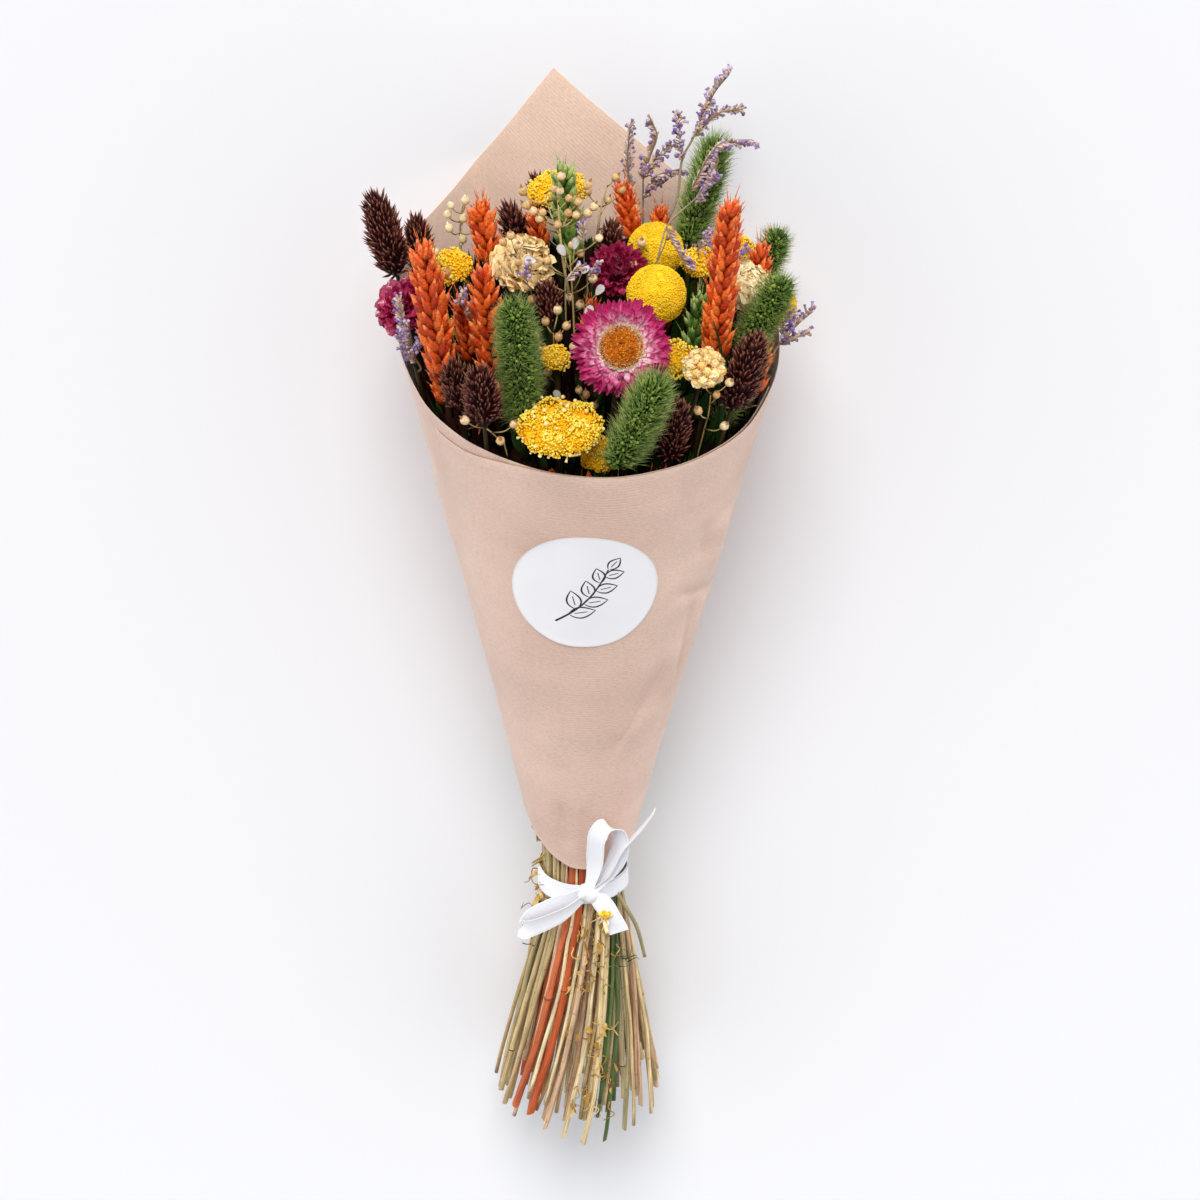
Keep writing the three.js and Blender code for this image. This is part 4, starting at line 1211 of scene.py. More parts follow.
def cream_ruffled(s, rng):
    """Crumpled petals packed round a shallow dome."""
    shape = Shape()
    # The first flower takes the darker tones as painted shade, the second only the lightest as painted
    # light.
    tones = (0.0, 0.6) if s["number"] == 1 else (0.8, 1.0)
    length, r = s["length"], s["width"] / 2
    turned_body(shape, [(1.4, 0), (r * 0.55, length * 0.2), (r * 0.6, length * 0.45), (0.5, length * 0.62)],
                14, "cream_petal", 0.3)
    # The rings from the inside out: how many, their radius, height, pitch and length.
    rings = (
        (3, 0.02, 0.4, 84, 0.42), (6, 0.12, 0.34, 76, 0.48), (8, 0.26, 0.26, 64, 0.54),
        (10, 0.4, 0.2, 48, 0.56), (11, 0.46, 0.12, 28, 0.58), (10, 0.42, 0.05, 8, 0.56),
    )
    for i, (count, near, height, pitch, far) in enumerate(rings):
        for j, template in enumerate(RUFFLED):
            part = max(1, count // 3 + (1 if i else 0))
            ring_of(shape, template, part, r * near, length * height, pitch + 7 * j,
                    (r * 0.92, r * 0.62, r * far), "cream_petal", rng, i * 0.7 + j * TAU / (3 * part),
                    tones, 9.0)
    return shape


def add_bud(shape, at, ahead, wide, rng):
    """A small papery bud: pointed scales round a yellow heart."""
    ahead = unit(ahead)
    side = unit(np.cross(ahead, (0.3, 0.2, 0.93)))
    other = np.cross(ahead, side)
    scatter(shape, BEAD, [at], ahead, side, (wide * 0.8,) * 3, "bud", rng.random())
    for count, near, lean in ((6, 0.34, -0.1), (7, 0.3, 0.2)):
        angle = TAU * np.arange(count) / count + rng.uniform(0, 6)
        away = np.cos(angle)[:, None] * side + np.sin(angle)[:, None] * other
        ahead_of = ahead + away * lean
        scatter(shape, SCALE, at + away * wide * near + ahead * wide * 0.08, ahead_of, away,
                (wide * 0.56, wide * 0.5, wide * 0.7), "bud", rng.random(count))
    heart = (wide * 0.34,) * 3
    scatter(shape, LOBED, [at + ahead * wide * 0.52], ahead, side, heart, "bud_heart", rng.random())


def cream_cluster(s, rng):
    """A tight cluster of small cream buds on short stalks."""
    shape = Shape()
    length, r = s["length"], s["width"] / 2 - 1.6
    top = length - 2.4
    profile = [(r * 0.8, top * 0.3), (r, top * 0.55), (r * 0.75, top * 0.85), (0.1, top)]
    at, normal, _ = spread(profile, 24, rng.uniform(0, 6))
    for point, way in zip(at, normal):
        add_bud(shape, point - way * 2.2, way + rng.normal(0, 0.1, 3), rng.uniform(4.8, 6.0), rng)
        path = curve([(0, 0, -1), (point[0] * 0.4, point[1] * 0.4, top * 0.1), point - way * 2], 5)
        tube(shape, path, 0.5, "yarrow_stalk", 4, rng.random())
    return shape


# Sprigs, placed on the standing bunch


# How far apart the calyces of one row stand, and the share of them that bloom.
COMB_STEP, IN_BLOOM = 1.15, 0.6


def comb(shape, path, rng):
    """Statice: papery calyces along one side of a twig's end, most with a purple floret."""
    count = max(4, int(np.linalg.norm(path[-1] - path[0]) / COMB_STEP))
    at = curve(path, count)
    ahead = unit(np.gradient(at, axis=0))
    side = unit(rng.normal(size=3) + (0, -0.6, 0))
    for row in (-1, 0, 1):
        lean = unit(np.cross(ahead, np.cross(side, ahead)) + row * 0.8 * np.cross(ahead, side))
        way = unit(ahead * rng.uniform(0.7, 1.5, (count, 1)) + lean + rng.normal(0, 0.22, (count, 3)))
        size = sized(rng.uniform(1.0, 1.6, count), rng.uniform(2.6, 4.2, count))
        scatter(shape, CALYX, at, way, ahead, size, "calyx", rng.random(count))
        blooming = rng.random(count) < IN_BLOOM
        if blooming.any():
            tip = (at + way * size[:, 2:] * 0.85)[blooming]
            wide = rng.uniform(1.1, 2.1, len(tip))
            bent = way[blooming] + rng.normal(0, 0.35, tip.shape)
            tone = rng.random(len(tip))
            scatter(shape, CALYX, tip, bent, ahead[blooming], sized(wide, 1.1 * wide), "floret", tone)


def statice_spray(shape, stems, combs, rng):
    """Thin twigs along stems, and florets along combs, all as points of the standing bunch."""
    for points, thick in stems:
        path = curve(points, 4 * len(points))
        tube(shape, path, np.linspace(thick, thick * 0.6, len(path)), "statice_twig", 5, rng.random())
    for points in combs:
        path = curve(points, 12)
        tube(shape, path, np.linspace(0.42, 0.25, 12), "statice_twig", 4, rng.random())
        comb(shape, path, rng)


POD_SIZE = 3.8
POD_TWIGS = {"pod": "pod_twig", "pod_pale": "yarrow_stalk"}


def add_pods(shape, spine, pods, rng, material="pod"):
    """Round pods on thin curved stalks that leave a twig further down."""
    line = curve(spine, 60)
    twig = POD_TWIGS[material]
    for pod in pods:
        pod = np.array(pod, float)
        gap = np.linalg.norm(line - pod, axis=1) + 0.9 * np.maximum(0, line[:, 2] - pod[2] + 6)
        joint = line[int(np.argmin(gap))]
        if joint[2] >= pod[2] - 1:
            joint = line[int(np.argmin(np.abs(line[:, 2] - pod[2] + 8)))]
        away = unit(pod - joint)
        bend = lerp(joint, pod, 0.55) + away * 0.5 - UP * np.linalg.norm(pod - joint) * 0.1
        path = curve([joint, bend, pod], 8)
        tube(shape, path, np.linspace(0.34, 0.26, 8), twig, 4, rng.random())
        way = unit(unit(pod - bend) * 0.6 + UP * 0.4 + rng.normal(0, 0.15, 3))
        wide = POD_SIZE * rng.uniform(0.9, 1.12)
        back, size = rng.normal(size=3), (wide * 0.96, wide * 0.96, wide * 1.08)
        scatter(shape, POD, [pod - way * wide * 0.2], way, back, size, material, rng.random())
        # The dry remains of the flower, at the pod's foot.
        at = np.repeat([pod - way * wide * 0.22], 4, 0)
        ahead, back = way + 0.7 * unit(rng.normal(size=(4, 3))), rng.normal(size=(4, 3))
        scatter(shape, SCALE, at, ahead, back, (0.7, 0.7, 1.3), twig, rng.random(4))


def add_disc(shape, at, ahead, face, wide, rng):
    """A thin round seed disc with a dark rim."""
    angle = TAU * np.arange(12) / 12
    share = np.array([0.0, 0.5, 0.84, 0.9, 1.0])
    x = share[:, None] * np.cos(angle) / 2 * (1 + 0.4 * np.sin(angle)) / 1.15
    z = share[:, None] * np.sin(angle) / 2 * 1.4 + 0.7
    y = 0.06 * share[:, None] ** 2 * np.cos(2 * angle)
    points = np.stack([x, y, z], -1).reshape(-1, 3)
    template = (points, grid_faces(5, 12, closed=True), np.repeat(share, 12))
    scatter(shape, template, [at], ahead, face, (wide,) * 3, "membrane", rng.random())


def curl(shape, start, way, size, material, rng, thick, turns):
    """A dry, curled scrap of leaf, thin and ribbon-like."""
    t = np.linspace(0, 1, 18)[:, None]
    way = unit(way)
    side = unit(np.cross(way, rng.normal(size=3)))
    other = np.cross(way, side)
    spin = TAU * turns * t + rng.uniform(0, TAU)
    swing = 0.3 * size * t * (np.cos(spin) * side + np.sin(spin) * other)
    path = np.asarray(start, float) + way * size * t + swing - 0.2 * size * t**2 * way
    tube(shape, path, thick * (1 - 0.5 * t[:, 0]), material, 4, rng.random())


# Kraft paper


def rim_z(roll):
    """The height of the cone's rim, the two upper edges of the square sheet."""
    turned = np.abs(roll) * math.sin(HALF_ANGLE)
    slant = PEAK_SLANT / (np.cos(turned) + np.sin(turned))
    past = smoothstep(roll, ROLL_OUTSIDE - CORNER_SPAN, ROLL_OUTSIDE)
    return NECK_Z + slant * math.cos(HALF_ANGLE) - CORNER_DROP * past


# Creases in the paper: lines of (angle, z), depth outwards, width in mm, and how sharp they are.
CREASES = (
    (((124, 287), (121, 269), (118, 251), (116, 229)), -2.4, 5.0, 0.7),
    (((128, 262), (124, 246), (122, 226)), 1.3, 6.0, 0.3),
    (((128, 305), (132, 329)), -1.3, 5.0, 0.7),
    (((133, 255), (141, 238), (154, 215), (165, 202)), -1.7, 5.5, 0.8),
    (((124, 226), (144, 220), (156, 209)), 1.2, 9.0, 0.2),
    (((233, 377), (220, 377), (209, 373), (195, 368)), -0.75, 1.6, 0.9),
    (((230, 370), (218, 371), (207, 366)), -0.55, 1.4, 0.9),
    (((201, 177), (195, 147)), -1.0, 4.0, 0.7),
    (((172, 188), (184, 170)), 0.6, 4.0, 0.4),
    (((238, 340), (230, 250), (222, 200)), 0.7, 9.0, 0.1),
    (((150, 358), (142, 330)), -0.5, 5.0, 0.5),
    (((214, 232), (206, 206), (203, 190)), -0.7, 6.0, 0.6),
    (((-14, 428), (-6, 440), (2, 446)), -0.7, 4.0, 0.7),
    (((140, 290), (118, 284), (98, 279)), -2.4, 3.6, 0.5),
    (((120, 328), (118, 310), (117, 294)), 2.7, 7.0, 0.2),
    (((262, 340), (261, 318), (258, 298)), 1.3, 12.0, 0.1),
)


def paper_waves(angle, z):
    """How far the paper stands off its cone: slow waves and the creases."""
    free = smoothstep(z, 165, 260)
    out = 0.55 * np.sin(3 * angle + z / 70) + 0.35 * np.sin(7 * angle - z / 41 + 1.3)
    out = out * free + 0.16 * np.sin(15 * angle + z / 19) + 0.2 * np.sin(z / 23 + 4 * angle) * free
    degrees = np.degrees(angle) % 360
    degrees = np.where(degrees > 330, degrees - 360, degrees)
    for line, depth, wide, sharp in CREASES:
        spot = np.array(line, float)
        mm = math.pi / 180 * float(paper_radius(spot[:, 1].mean()))
        spot[:, 0] *= mm
        steps = np.linalg.norm(np.diff(spot, axis=0), axis=1)
        best, share = np.full(np.broadcast(degrees, z).shape, 1e9), 0.0
        for k, (a, b) in enumerate(zip(spot, spot[1:])):
            px, pz = degrees * mm - a[0], z - a[1]
            dx, dz = b - a
            t = np.clip((px * dx + pz * dz) / (dx * dx + dz * dz), 0, 1)
            far = np.hypot(px - t * dx, pz - t * dz)
            share = np.where(far < best, (steps[:k].sum() + t * steps[k]) / steps.sum(), share)
            best = np.minimum(far, best)
        fade = smoothstep(share, -0.05, 0.3) * smoothstep(1 - share, -0.05, 0.3)
        fold = lerp(np.exp(-((best / wide) ** 2)), np.exp(-best / (0.6 * wide)), sharp)
        out = out + depth * fade * fold
    return out


# The drawn sheet's thickness, and what its edge left of the peak loses: in the photo that edge is
# straight, so it loses what bulges, over twice this many degrees of roll.
SHEET_THICK = 0.3
PEAK_BULGE, BULGE_SPAN = 5.7, 42


def kraft_wrap():
    """The rolled sheet, two thin sides with a closed edge."""
    columns, rows = 340, 112
    across = np.linspace(0, 1, columns + 1)[:, None]
    rise = np.linspace(0, 1, rows + 1)[None]
    outer = ROLL_OUTSIDE + ROLL_TUCK * (1 - rise) ** TUCK_CURVE
    roll = lerp(-ROLL_INSIDE, outer, across)
    angle = roll + PEAK_TURN
    bottom = PAPER_BOTTOM + PAPER_BOTTOM_RISE * (1 + np.cos(angle)) / 2
    bottom = bottom + 6 * np.maximum(0, -np.sin(angle)) ** 2
    share = np.clip(-np.degrees(roll) / BULGE_SPAN, 0, 2)
    bulge = PEAK_BULGE * np.sin(math.pi * share) * smoothstep(2 - share)
    z = lerp(bottom, rim_z(roll) - bulge, rise)
    slant = (z - NECK_Z) / math.cos(HALF_ANGLE)
    flat = roll * math.sin(HALF_ANGLE) - math.radians(45)
    grain = np.stack([slant * np.cos(flat), slant * np.sin(flat), 0 * z], -1)
    waves = paper_waves(angle, z)
    edge = smoothstep(rise, 0.985, 1.0) + smoothstep(-rise, -0.02, 0.0)
    # The tone varies at random and is lighter along the sheet's top and bottom edges; it is darker in the
    # paper's dents, as painted shade, and lighter towards the peak, as painted light.
    tone = 0.5 + 0.14 * lumps(grain, 90, 5) + 0.25 * edge - 0.06 * np.clip(-waves, 0, 1)
    tone = tone + 0.4 * smoothstep(z, 380, 440)
    # The free edge is pressed down on the layer under it.
    waves = waves - 0.55 * smoothstep(roll, outer - math.radians(24), outer)
    layers = []
    for out in (SHEET_THICK / 2, -SHEET_THICK / 2):
        radius = paper_radius(z) + TURN_PITCH * roll / TAU + out + waves
        y = np.minimum(radius * np.cos(angle), rest_y(z) - PAPER_THICK / 2 + out)
        layers.append(np.stack([axis_x(z) + radius * np.sin(angle), y, z], -1))
    faces = grid_faces(columns + 1, rows + 1)
    n = (columns + 1) * (rows + 1)
    i = np.arange(columns + 1) * (rows + 1)
    last = i[-1] + np.arange(1, rows + 1)
    loop = np.concatenate([i, last, i[::-1][1:] + rows, np.arange(rows - 1, 0, -1)])
    every = np.concatenate([faces[:, ::-1], faces + n, band(loop, n)])
    shape = Shape()
    shape.add(np.concatenate([v.reshape(-1, 3) for v in layers]), every, "kraft",
              np.tile(tone.ravel(), 2), 0.5, np.tile(grain.reshape(-1, 3), (2, 1)))
    piece = shape.build("kraft_cone", "kraft_paper", "kraft_wrap", crisp=True)


# The sticker


# How high the ink's lines lie over the label.
INK_HEIGHT = 0.27


def on_label(u, v, h):
    """A point of the round label: u to its right, v up, h off the paper, in millimetres."""
    z = STICKER_Z + v * math.cos(HALF_ANGLE)
    angle = STICKER_TURN - u / paper_radius(z)
    roll = STICKER_TURN - PEAK_TURN
    return round_axis(angle, paper_radius(z) + TURN_PITCH * roll / TAU + 0.32 + h + paper_waves(angle, z), z)


def stroke(shape, points, wide):
    """A pen line on the label."""
    p = np.asarray(points, float)
    ahead = unit(np.gradient(p, axis=0))
    side = np.stack([-ahead[:, 1], ahead[:, 0]], -1)
    wide = np.broadcast_to(wide, (len(p),))[:, None] / 2
    both = np.stack([p + side * wide, p - side * wide], 1)
    faces = grid_faces(len(p), 2)
    shape.add(on_label(both[..., 0], both[..., 1], INK_HEIGHT), faces, "ink", 0.5, 0.5)


def add_drawing(shape):
    """A bent twig with leaf outlines, each with a short midrib."""
    t = np.linspace(0, 1, 40)
    twig = np.stack([-12.5 + 22 * t + 2.4 * np.sin(3 * t), -17.5 + 31 * t - 2.5 * np.sin(math.pi * t)], -1)
    stroke(shape, twig, 1.0 - 0.4 * t)
    rng = np.random.default_rng(71)
    for i, share in enumerate((0.2, 0.32, 0.44, 0.56, 0.68, 0.8, 0.9, 1.0)):
        root = np.array([np.interp(share, t, twig[:, 0]), np.interp(share, t, twig[:, 1])])
        lean = math.radians(57 + (0 if share == 1 else (44 if i % 2 else -46)) + rng.normal(0, 4))
        long, wide = 12.5 - 4.5 * share, 3.4 - 1.0 * share
        way = np.array([math.cos(lean), math.sin(lean)])
        side = np.array([-way[1], way[0]])
        k = np.linspace(0.04, 1, 20)[:, None]
        bow = wide * np.sin(math.pi * k**0.85)
        pen = 0.75 * (0.45 + 0.55 * np.sin(math.pi * k[:, 0]))
        for turn in (-1, 1):
            stroke(shape, root + way * long * k + side * turn * bow, pen)
        stroke(shape, root + way * long * (0.2 + 0.5 * k), 0.42)


def sticker():
    """A bare white disc with a small generic drawing of a leafy twig."""
    shape = Shape()
    rings, sides = 14, 96
    share = np.linspace(0, 1, rings)[:, None]
    angle = TAU * np.arange(sides)[None] / sides
    u, v = STICKER_RADIUS * share * np.cos(angle), STICKER_RADIUS * share * np.sin(angle)
    lift = 0.22 + 0.25 * smoothstep(share, 0.93, 1.0) * (0.5 + 0.5 * np.sin(3 * angle + 1))
    top = on_label(u, v, lift)
    low = on_label(u, v, lift - 0.16)
    along = np.repeat(share, sides, 1).ravel()
    faces = grid_faces(rings, sides, closed=True)
    n = rings * sides
    shape.add(top, faces, "label", 0.5, along)
    shape.add(low, faces[:, ::-1], "label", 0.5, along)
    c = np.arange(sides)
    a, b = n - sides + c, n - sides + (c + 1) % sides
    rim = np.concatenate([np.stack([a, a + n, b + n], -1), np.stack([a, b + n, b], -1)])
    shape.add(np.concatenate([top.reshape(-1, 3), low.reshape(-1, 3)]), rim, "label", 0.5, 1.0)
    add_drawing(shape)
    shape.build("round_label", "label_paper", "sticker", crisp=True)


# The ribbon


def strip(shape, path, side, wide, seed, cup):
    """A length of ribbon: path and side vectors, closed as a thin flat body."""
    rows, columns = len(path), 7
    ahead = unit(np.gradient(path, axis=0))
    normal = unit(np.cross(ahead, np.broadcast_to(side, path.shape)))
    side = unit(np.cross(normal, ahead))
    wide = np.broadcast_to(wide, (rows,))[:, None]
    cup = np.broadcast_to(cup, (rows,))[:, None]
    s = np.linspace(-0.5, 0.5, columns)[None]
    across = side[:, None] * (s * wide)[..., None]
    layers = []
    for out in (RIBBON_THICK / 2, -RIBBON_THICK / 2):
        off = cup * (1 - (2 * s) ** 2) + out
        layers.append(path[:, None] + across + normal[:, None] * off[..., None])
    count = rows * columns
    right, left = columns * np.arange(1, rows), columns * np.arange(rows - 2, 0, -1)
    loop = [np.arange(columns), columns - 1 + right, count - 1 - np.arange(1, columns), left]
    faces, edge = grid_faces(rows, columns), band(np.concatenate(loop), count)
    far = np.repeat(lengths(path)[:, None], columns, 1)
    grain = np.stack([np.broadcast_to(s * wide, far.shape), far, np.full(far.shape, seed)], -1)
    shape.add(np.concatenate([v.reshape(-1, 3) for v in layers]),
              np.concatenate([faces, faces[:, ::-1] + count, edge[:, ::-1]]), "satin", 0.5,
              0.5, np.tile(grain.reshape(-1, 3), (2, 1)))


# The share of the ribbon's width that is left where it enters the knot.
PINCHED = 0.55


def pinch(count, ends):
    """Ribbon width along a strip, pinched at the ends that enter the knot."""
    t = np.linspace(0, 1, count)
    wide = smoothstep(t, 0.0, 0.25) if ends[0] else np.ones(count)
    if ends[1]:
        wide = wide * smoothstep(1 - t, 0.0, 0.25)
    return RIBBON_WIDTH * lerp(PINCHED, 1.0, wide)


# The two loops and the two tails: grain seed, line and side vector, pinched ends, and cupping.
BOW_PARTS = (
    (1.0, UPPER_LOOP, (1, 1), 0.9),
    (2.0, LOWER_LOOP, (1, 1), 0.8),
    (5.0, LOWER_TAIL, (1, 0), 0.7),
    (6.0, UPPER_TAIL, (1, 0), 0.5),
)


def ribbon_band(shape):
    """Two turns of ribbon round the neck."""
    turn = np.linspace(0, TAU, 121)
    ripple = 0.25 * np.sin(5 * turn) + 0.15 * np.sin(11 * turn + 1)
    for k, (out, drop, tip) in enumerate(((0.25, 0.6, 0.5), (0.7, -0.9, -0.7))):
        r = BAND_RADIUS + out + ripple * 0.5
        z = WAIST_Z + drop + tip * np.sin(turn + 2.2) + 0.3 * np.sin(3 * turn + k)
        path = np.stack([axis_x(WAIST_Z) + r * np.sin(turn), r * np.cos(turn), z], -1)
        strip(shape, path, (0.0, 0.0, 1.0), RIBBON_WIDTH - 0.8 * k, 3.0 + k, 0.25 * np.sin(4 * turn))


def knot(shape):
    """A short wrap of ribbon, wider across than high, with folds along it."""
    (x, y, z), size = KNOT
    rows, sides, lean = 22, 28, math.radians(-24)
    polar = np.linspace(0.12, math.pi - 0.12, rows)[:, None]
    angle = TAU * np.arange(sides)[None] / sides
    fold = 1 + 0.06 * np.cos(6 * polar + 0.6 * np.sin(angle)) + 0.03 * np.sin(5 * angle)
    px = 0.5 * size[0] * 1.02 * np.cos(polar) * np.ones_like(angle)
    swell = np.abs(np.sin(polar)) ** 0.45 * fold
    py = 0.5 * size[1] * swell * np.cos(angle)
    pz = 0.5 * size[2] * 0.95 * swell * np.sin(angle)
    qx, qz = px * math.cos(lean) - pz * math.sin(lean), px * math.sin(lean) + pz * math.cos(lean)
    rings = np.stack([qx + x, py + y, qz + z], -1)[::-1]
    points, faces, _ = skin(rings, top=rings[-1].mean(0), bottom=rings[0].mean(0))
    grain = np.zeros((len(points), 3))
    grain[: rows * sides, 0] = np.repeat(px[::-1, :1] * 0.9, sides, 1).ravel()
    grain[: rows * sides, 1] = np.repeat(angle * 4, rows, 0).ravel()
    shape.add(points, faces, "satin", 0.5, 0.5, grain)


def satin_bow():
    """The ribbon: two turns, two loops, two tails and a knot."""
    shape = Shape()
    ribbon_band(shape)
    t = np.linspace(0, 1, 64)
    for seed, (points, side), ends, cup in BOW_PARTS:
        sway = np.stack([np.sin(9 * t + seed), np.cos(7 * t), 0 * t], -1)
        path = curve(points, len(t)) + 0.35 * sway * np.sin(math.pi * t)[:, None]
        cups = cup * np.sin(math.pi * t) + 0.25 * np.sin(11 * t)
        strip(shape, path, side, pinch(len(t), ends), seed, cups)
    knot(shape)
    piece = shape.build("satin_bow", "satin", "satin_ribbon", crisp=True)


# Putting the bunch together

def strawflower(s, rng):
    return strawflower_open(s, rng) if s["number"] == 1 else strawflower_shut(s, rng)


def cream_flower(s, rng):
    return cream_cluster(s, rng) if s["number"] == 3 else cream_ruffled(s, rng)


HEAD_MAKERS = {
    "wheat_orange": wheat,
    "wheat_green": wheat,
    "canary_grass": canary,
    "foxtail": foxtail,
    "yarrow": yarrow,
    "craspedia": craspedia,
    "strawflower": strawflower,
    "cream_flower": cream_flower,
}

# For each statice, its twigs (points, thickness) and the lines that carry florets.
STATICE = {
    1: (
        [([(23, 35, 417), (29, 42, 430), (34, 46, 441), (36, 50, 457), (41, 50, 468), (46, 50, 482)], 0.8),
         ([(29, 42, 430), (36, 45, 435), (43, 46, 444), (48, 46, 458)], 0.6)],
        [[(46, 50, 480), (50, 50, 489), (56, 50, 497)],
         [(36, 50, 457), (35, 50, 467), (34.5, 50, 479)],
         [(40, 50, 467), (45, 50, 473), (52, 50, 479), (60, 50, 481)],
         [(43, 50, 470), (44, 50, 478), (47, 50, 484)]],
    ),
    2: (
        [([(20, 35, 416), (17, 45, 426), (15, 53, 436), (13, 55, 444)], 0.7),
         ([(19, 45, 427), (19, 52, 437), (19, 52, 447)], 0.6)],
        [[(13.5, 55, 441), (12, 55, 455), (13, 55, 470)],
         [(19, 52, 447), (22, 52, 458), (25, 52, 467), (23, 52, 474)],
         [(19, 52, 438), (23, 52, 447), (28, 52, 450), (35, 52, 452)],
         [(20, 52, 448), (24, 52, 456), (30, 52, 463)],
         [(20, 52, 442), (26, 52, 444), (30, 52, 447)]],
    ),
    3: (
        [([(73, -17, 392), (77, -19, 400), (80, -20, 405)], 0.6)],
        [[(79, -20, 402), (84, -20, 409), (91, -20, 416)],
         [(78, -19, 401), (79, -19, 410), (82, -19, 415)],
         [(77, -19, 400), (83, -22, 404), (88, -23, 407)]],
    ),
    4: (
        [([(-77, -26, 392), (-80, -30, 400), (-82, -33, 408)], 0.6)],
        [[(-79, -31, 398), (-83, -35, 410), (-85, -35, 427)],
         [(-79, -33, 398), (-81, -37, 408), (-81, -38, 418)],
         [(-80, -33, 400), (-76, -36, 408), (-74, -37, 416)]],
    ),
}
# For each flax, its twig from the neck on, and its pods.
PODS = {
    1: (
        [(-13, -8, 418), (-16, -10, 436), (-17, -9, 447), (-18, -6, 462)],
        [(-18, -8, 450), (-12, -9, 441), (-9, -8, 437), (-1, -8, 444), (-22, -9, 434), (-22, -8, 425),
         (-13, -9, 417), (-9, -8, 413), (-4, -8, 425), (-17, -8, 466), (-14, -7, 455), (-24, -8, 456)],
    ),
    2: (
        [(-61, 23, 434), (-60, 18, 446), (-59, 14, 452)],
        [(-64, 12, 451), (-58, 12, 453), (-59, 12, 445), (-65, 12, 440), (-55, 12, 440), (-59, 12, 435),
         (-66, 14, 446), (-53, 13, 448)],
    ),
    3: (
        [(0, 36, 438), (3, 39, 449)],
        [(3, 40, 441), (9, 40, 446), (15, 40, 437), (12, 40, 427), (-1, 40, 422), (6, 40, 452),
         (-5, 38, 446)],
    ),
}
PALE_FLAX = 2
# More twigs, each with its pods.
LOOSE_PODS = (
    ([(-15, 8, 405), (-15, 10, 426), (-17, 10, 436), (-21, 10, 448), (-24, 10, 458)],
     [(-33, 10, 458), (-31, 10, 452), (-28, 10, 449), (-26, 10, 445), (-17, 10, 465), (-20, 10, 459),
      (-14, 10, 455), (-10, 10, 453), (-11, 10, 447), (-6, 10, 448), (-3, 10, 451), (-6, 10, 461)]),
    ([(-33, -8, 400), (-34, -11, 420), (-36, -12, 440)],
     [(-38, -12, 447), (-35, -13, 443), (-41, -12, 444), (-32, -12, 423), (-30, -12, 417),
      (-35, -15, 436), (-36, -14, 418)]),
    ([(-17, -25, 372), (-19, -30, 392), (-20, -32, 412)],
     [(-23, -32, 416), (-18, -32, 421), (-15, -32, 414), (-18, -33, 409), (-23, -32, 402),
      (-22, -32, 392), (-27, -31, 409), (-12, -32, 404)]),
    ([(-8, -33, 360), (-7, -33, 370), (-5, -33, 378)], [(-6, -32, 381), (-3, -33, 376), (-9, -33, 384)]),
    ([(-40, -58, 368), (-44, -64, 378), (-48, -68, 384)],
     [(-56, -72, 389), (-37, -72, 387), (-42, -73, 380), (-44, -62, 400)]),
    ([(44, -50, 372), (46, -56, 384), (47, -58, 396)],
     [(44, -60, 401), (49, -60, 395), (54, -60, 401), (42, -61, 388), (52, -61, 381)]),
    ([(-66, -8, 410), (-69, -12, 426), (-68, -13, 434)],
     [(-73, -14, 435), (-66, -14, 431), (-70, -13, 440)]),
    ([(20, 0, 405), (24, 6, 424), (22, 10, 436)], [(18, 6, 436), (28, 12, 430), (15, 2, 428)]),
)
# Statice in front of the heads: its twigs, the florets on them, and florets on twigs of their own.
FRONT_TWIGS = (
    ([(20, -6, 412), (24.5, -2, 431), (29, 6, 445), (37, 12, 451), (44, 12, 458), (50, 13, 467)], 0.5),
    ([(20, -8, 412), (24, -5, 431), (27.5, -7, 441), (29, -8, 448)], 0.5),
    ([(44, -2, 420), (43, 0, 430), (42, 0, 437)], 0.4),
    ([(56, -4, 418), (58, 0, 428)], 0.35),
)
FRONT_COMBS = (
    [(39, 15, 457), (43, 15, 466), (46, 15, 472), (50, 15, 478)],
    [(46, 15, 458), (49, 15, 465), (51, 15, 472)],
    [(41, 14, 452), (44, 15, 459), (48, 15, 464)],
    [(50, 15, 478), (55, 15, 480.5), (65, 15, 481)],
    [(29, -8, 450), (31, -8, 443.5), (33.5, -8, 438.5), (37, -8, 432)],
    [(42, 0, 436), (45, 0, 443)],
    [(45, 0, 438), (48, 0, 444)],
    [(59, 0, 431), (63.5, 0, 435)],
)
LONE_COMBS = (
    [(-7, -18, 448), (-7, -18, 454)],
    [(-14.5, -24, 432.5), (-10, -24, 438.5)],
    [(-5.5, -22, 433.5), (-2, -22, 439.5)],
    [(-31, -26, 433), (-29, -26, 439.5)],
    [(-59, -34, 425.5), (-57.5, -34, 431.5)],
    [(-57.5, -34, 421.5), (-55.5, -34, 427)],
    [(26, -62, 381), (29, -62, 387)],
)
DISC_STALK = [(-10, -14, 372), (-11, -15, 400), (-12, -15, 425), (-13, -14, 440)]
DISCS = (
    (-11, -16, 443), (-8, -16, 432), (-27, -16, 438), (-15, -16, 440), (-2, -16, 422),
    (-18, -45, 386), (-7, -16, 412),
)


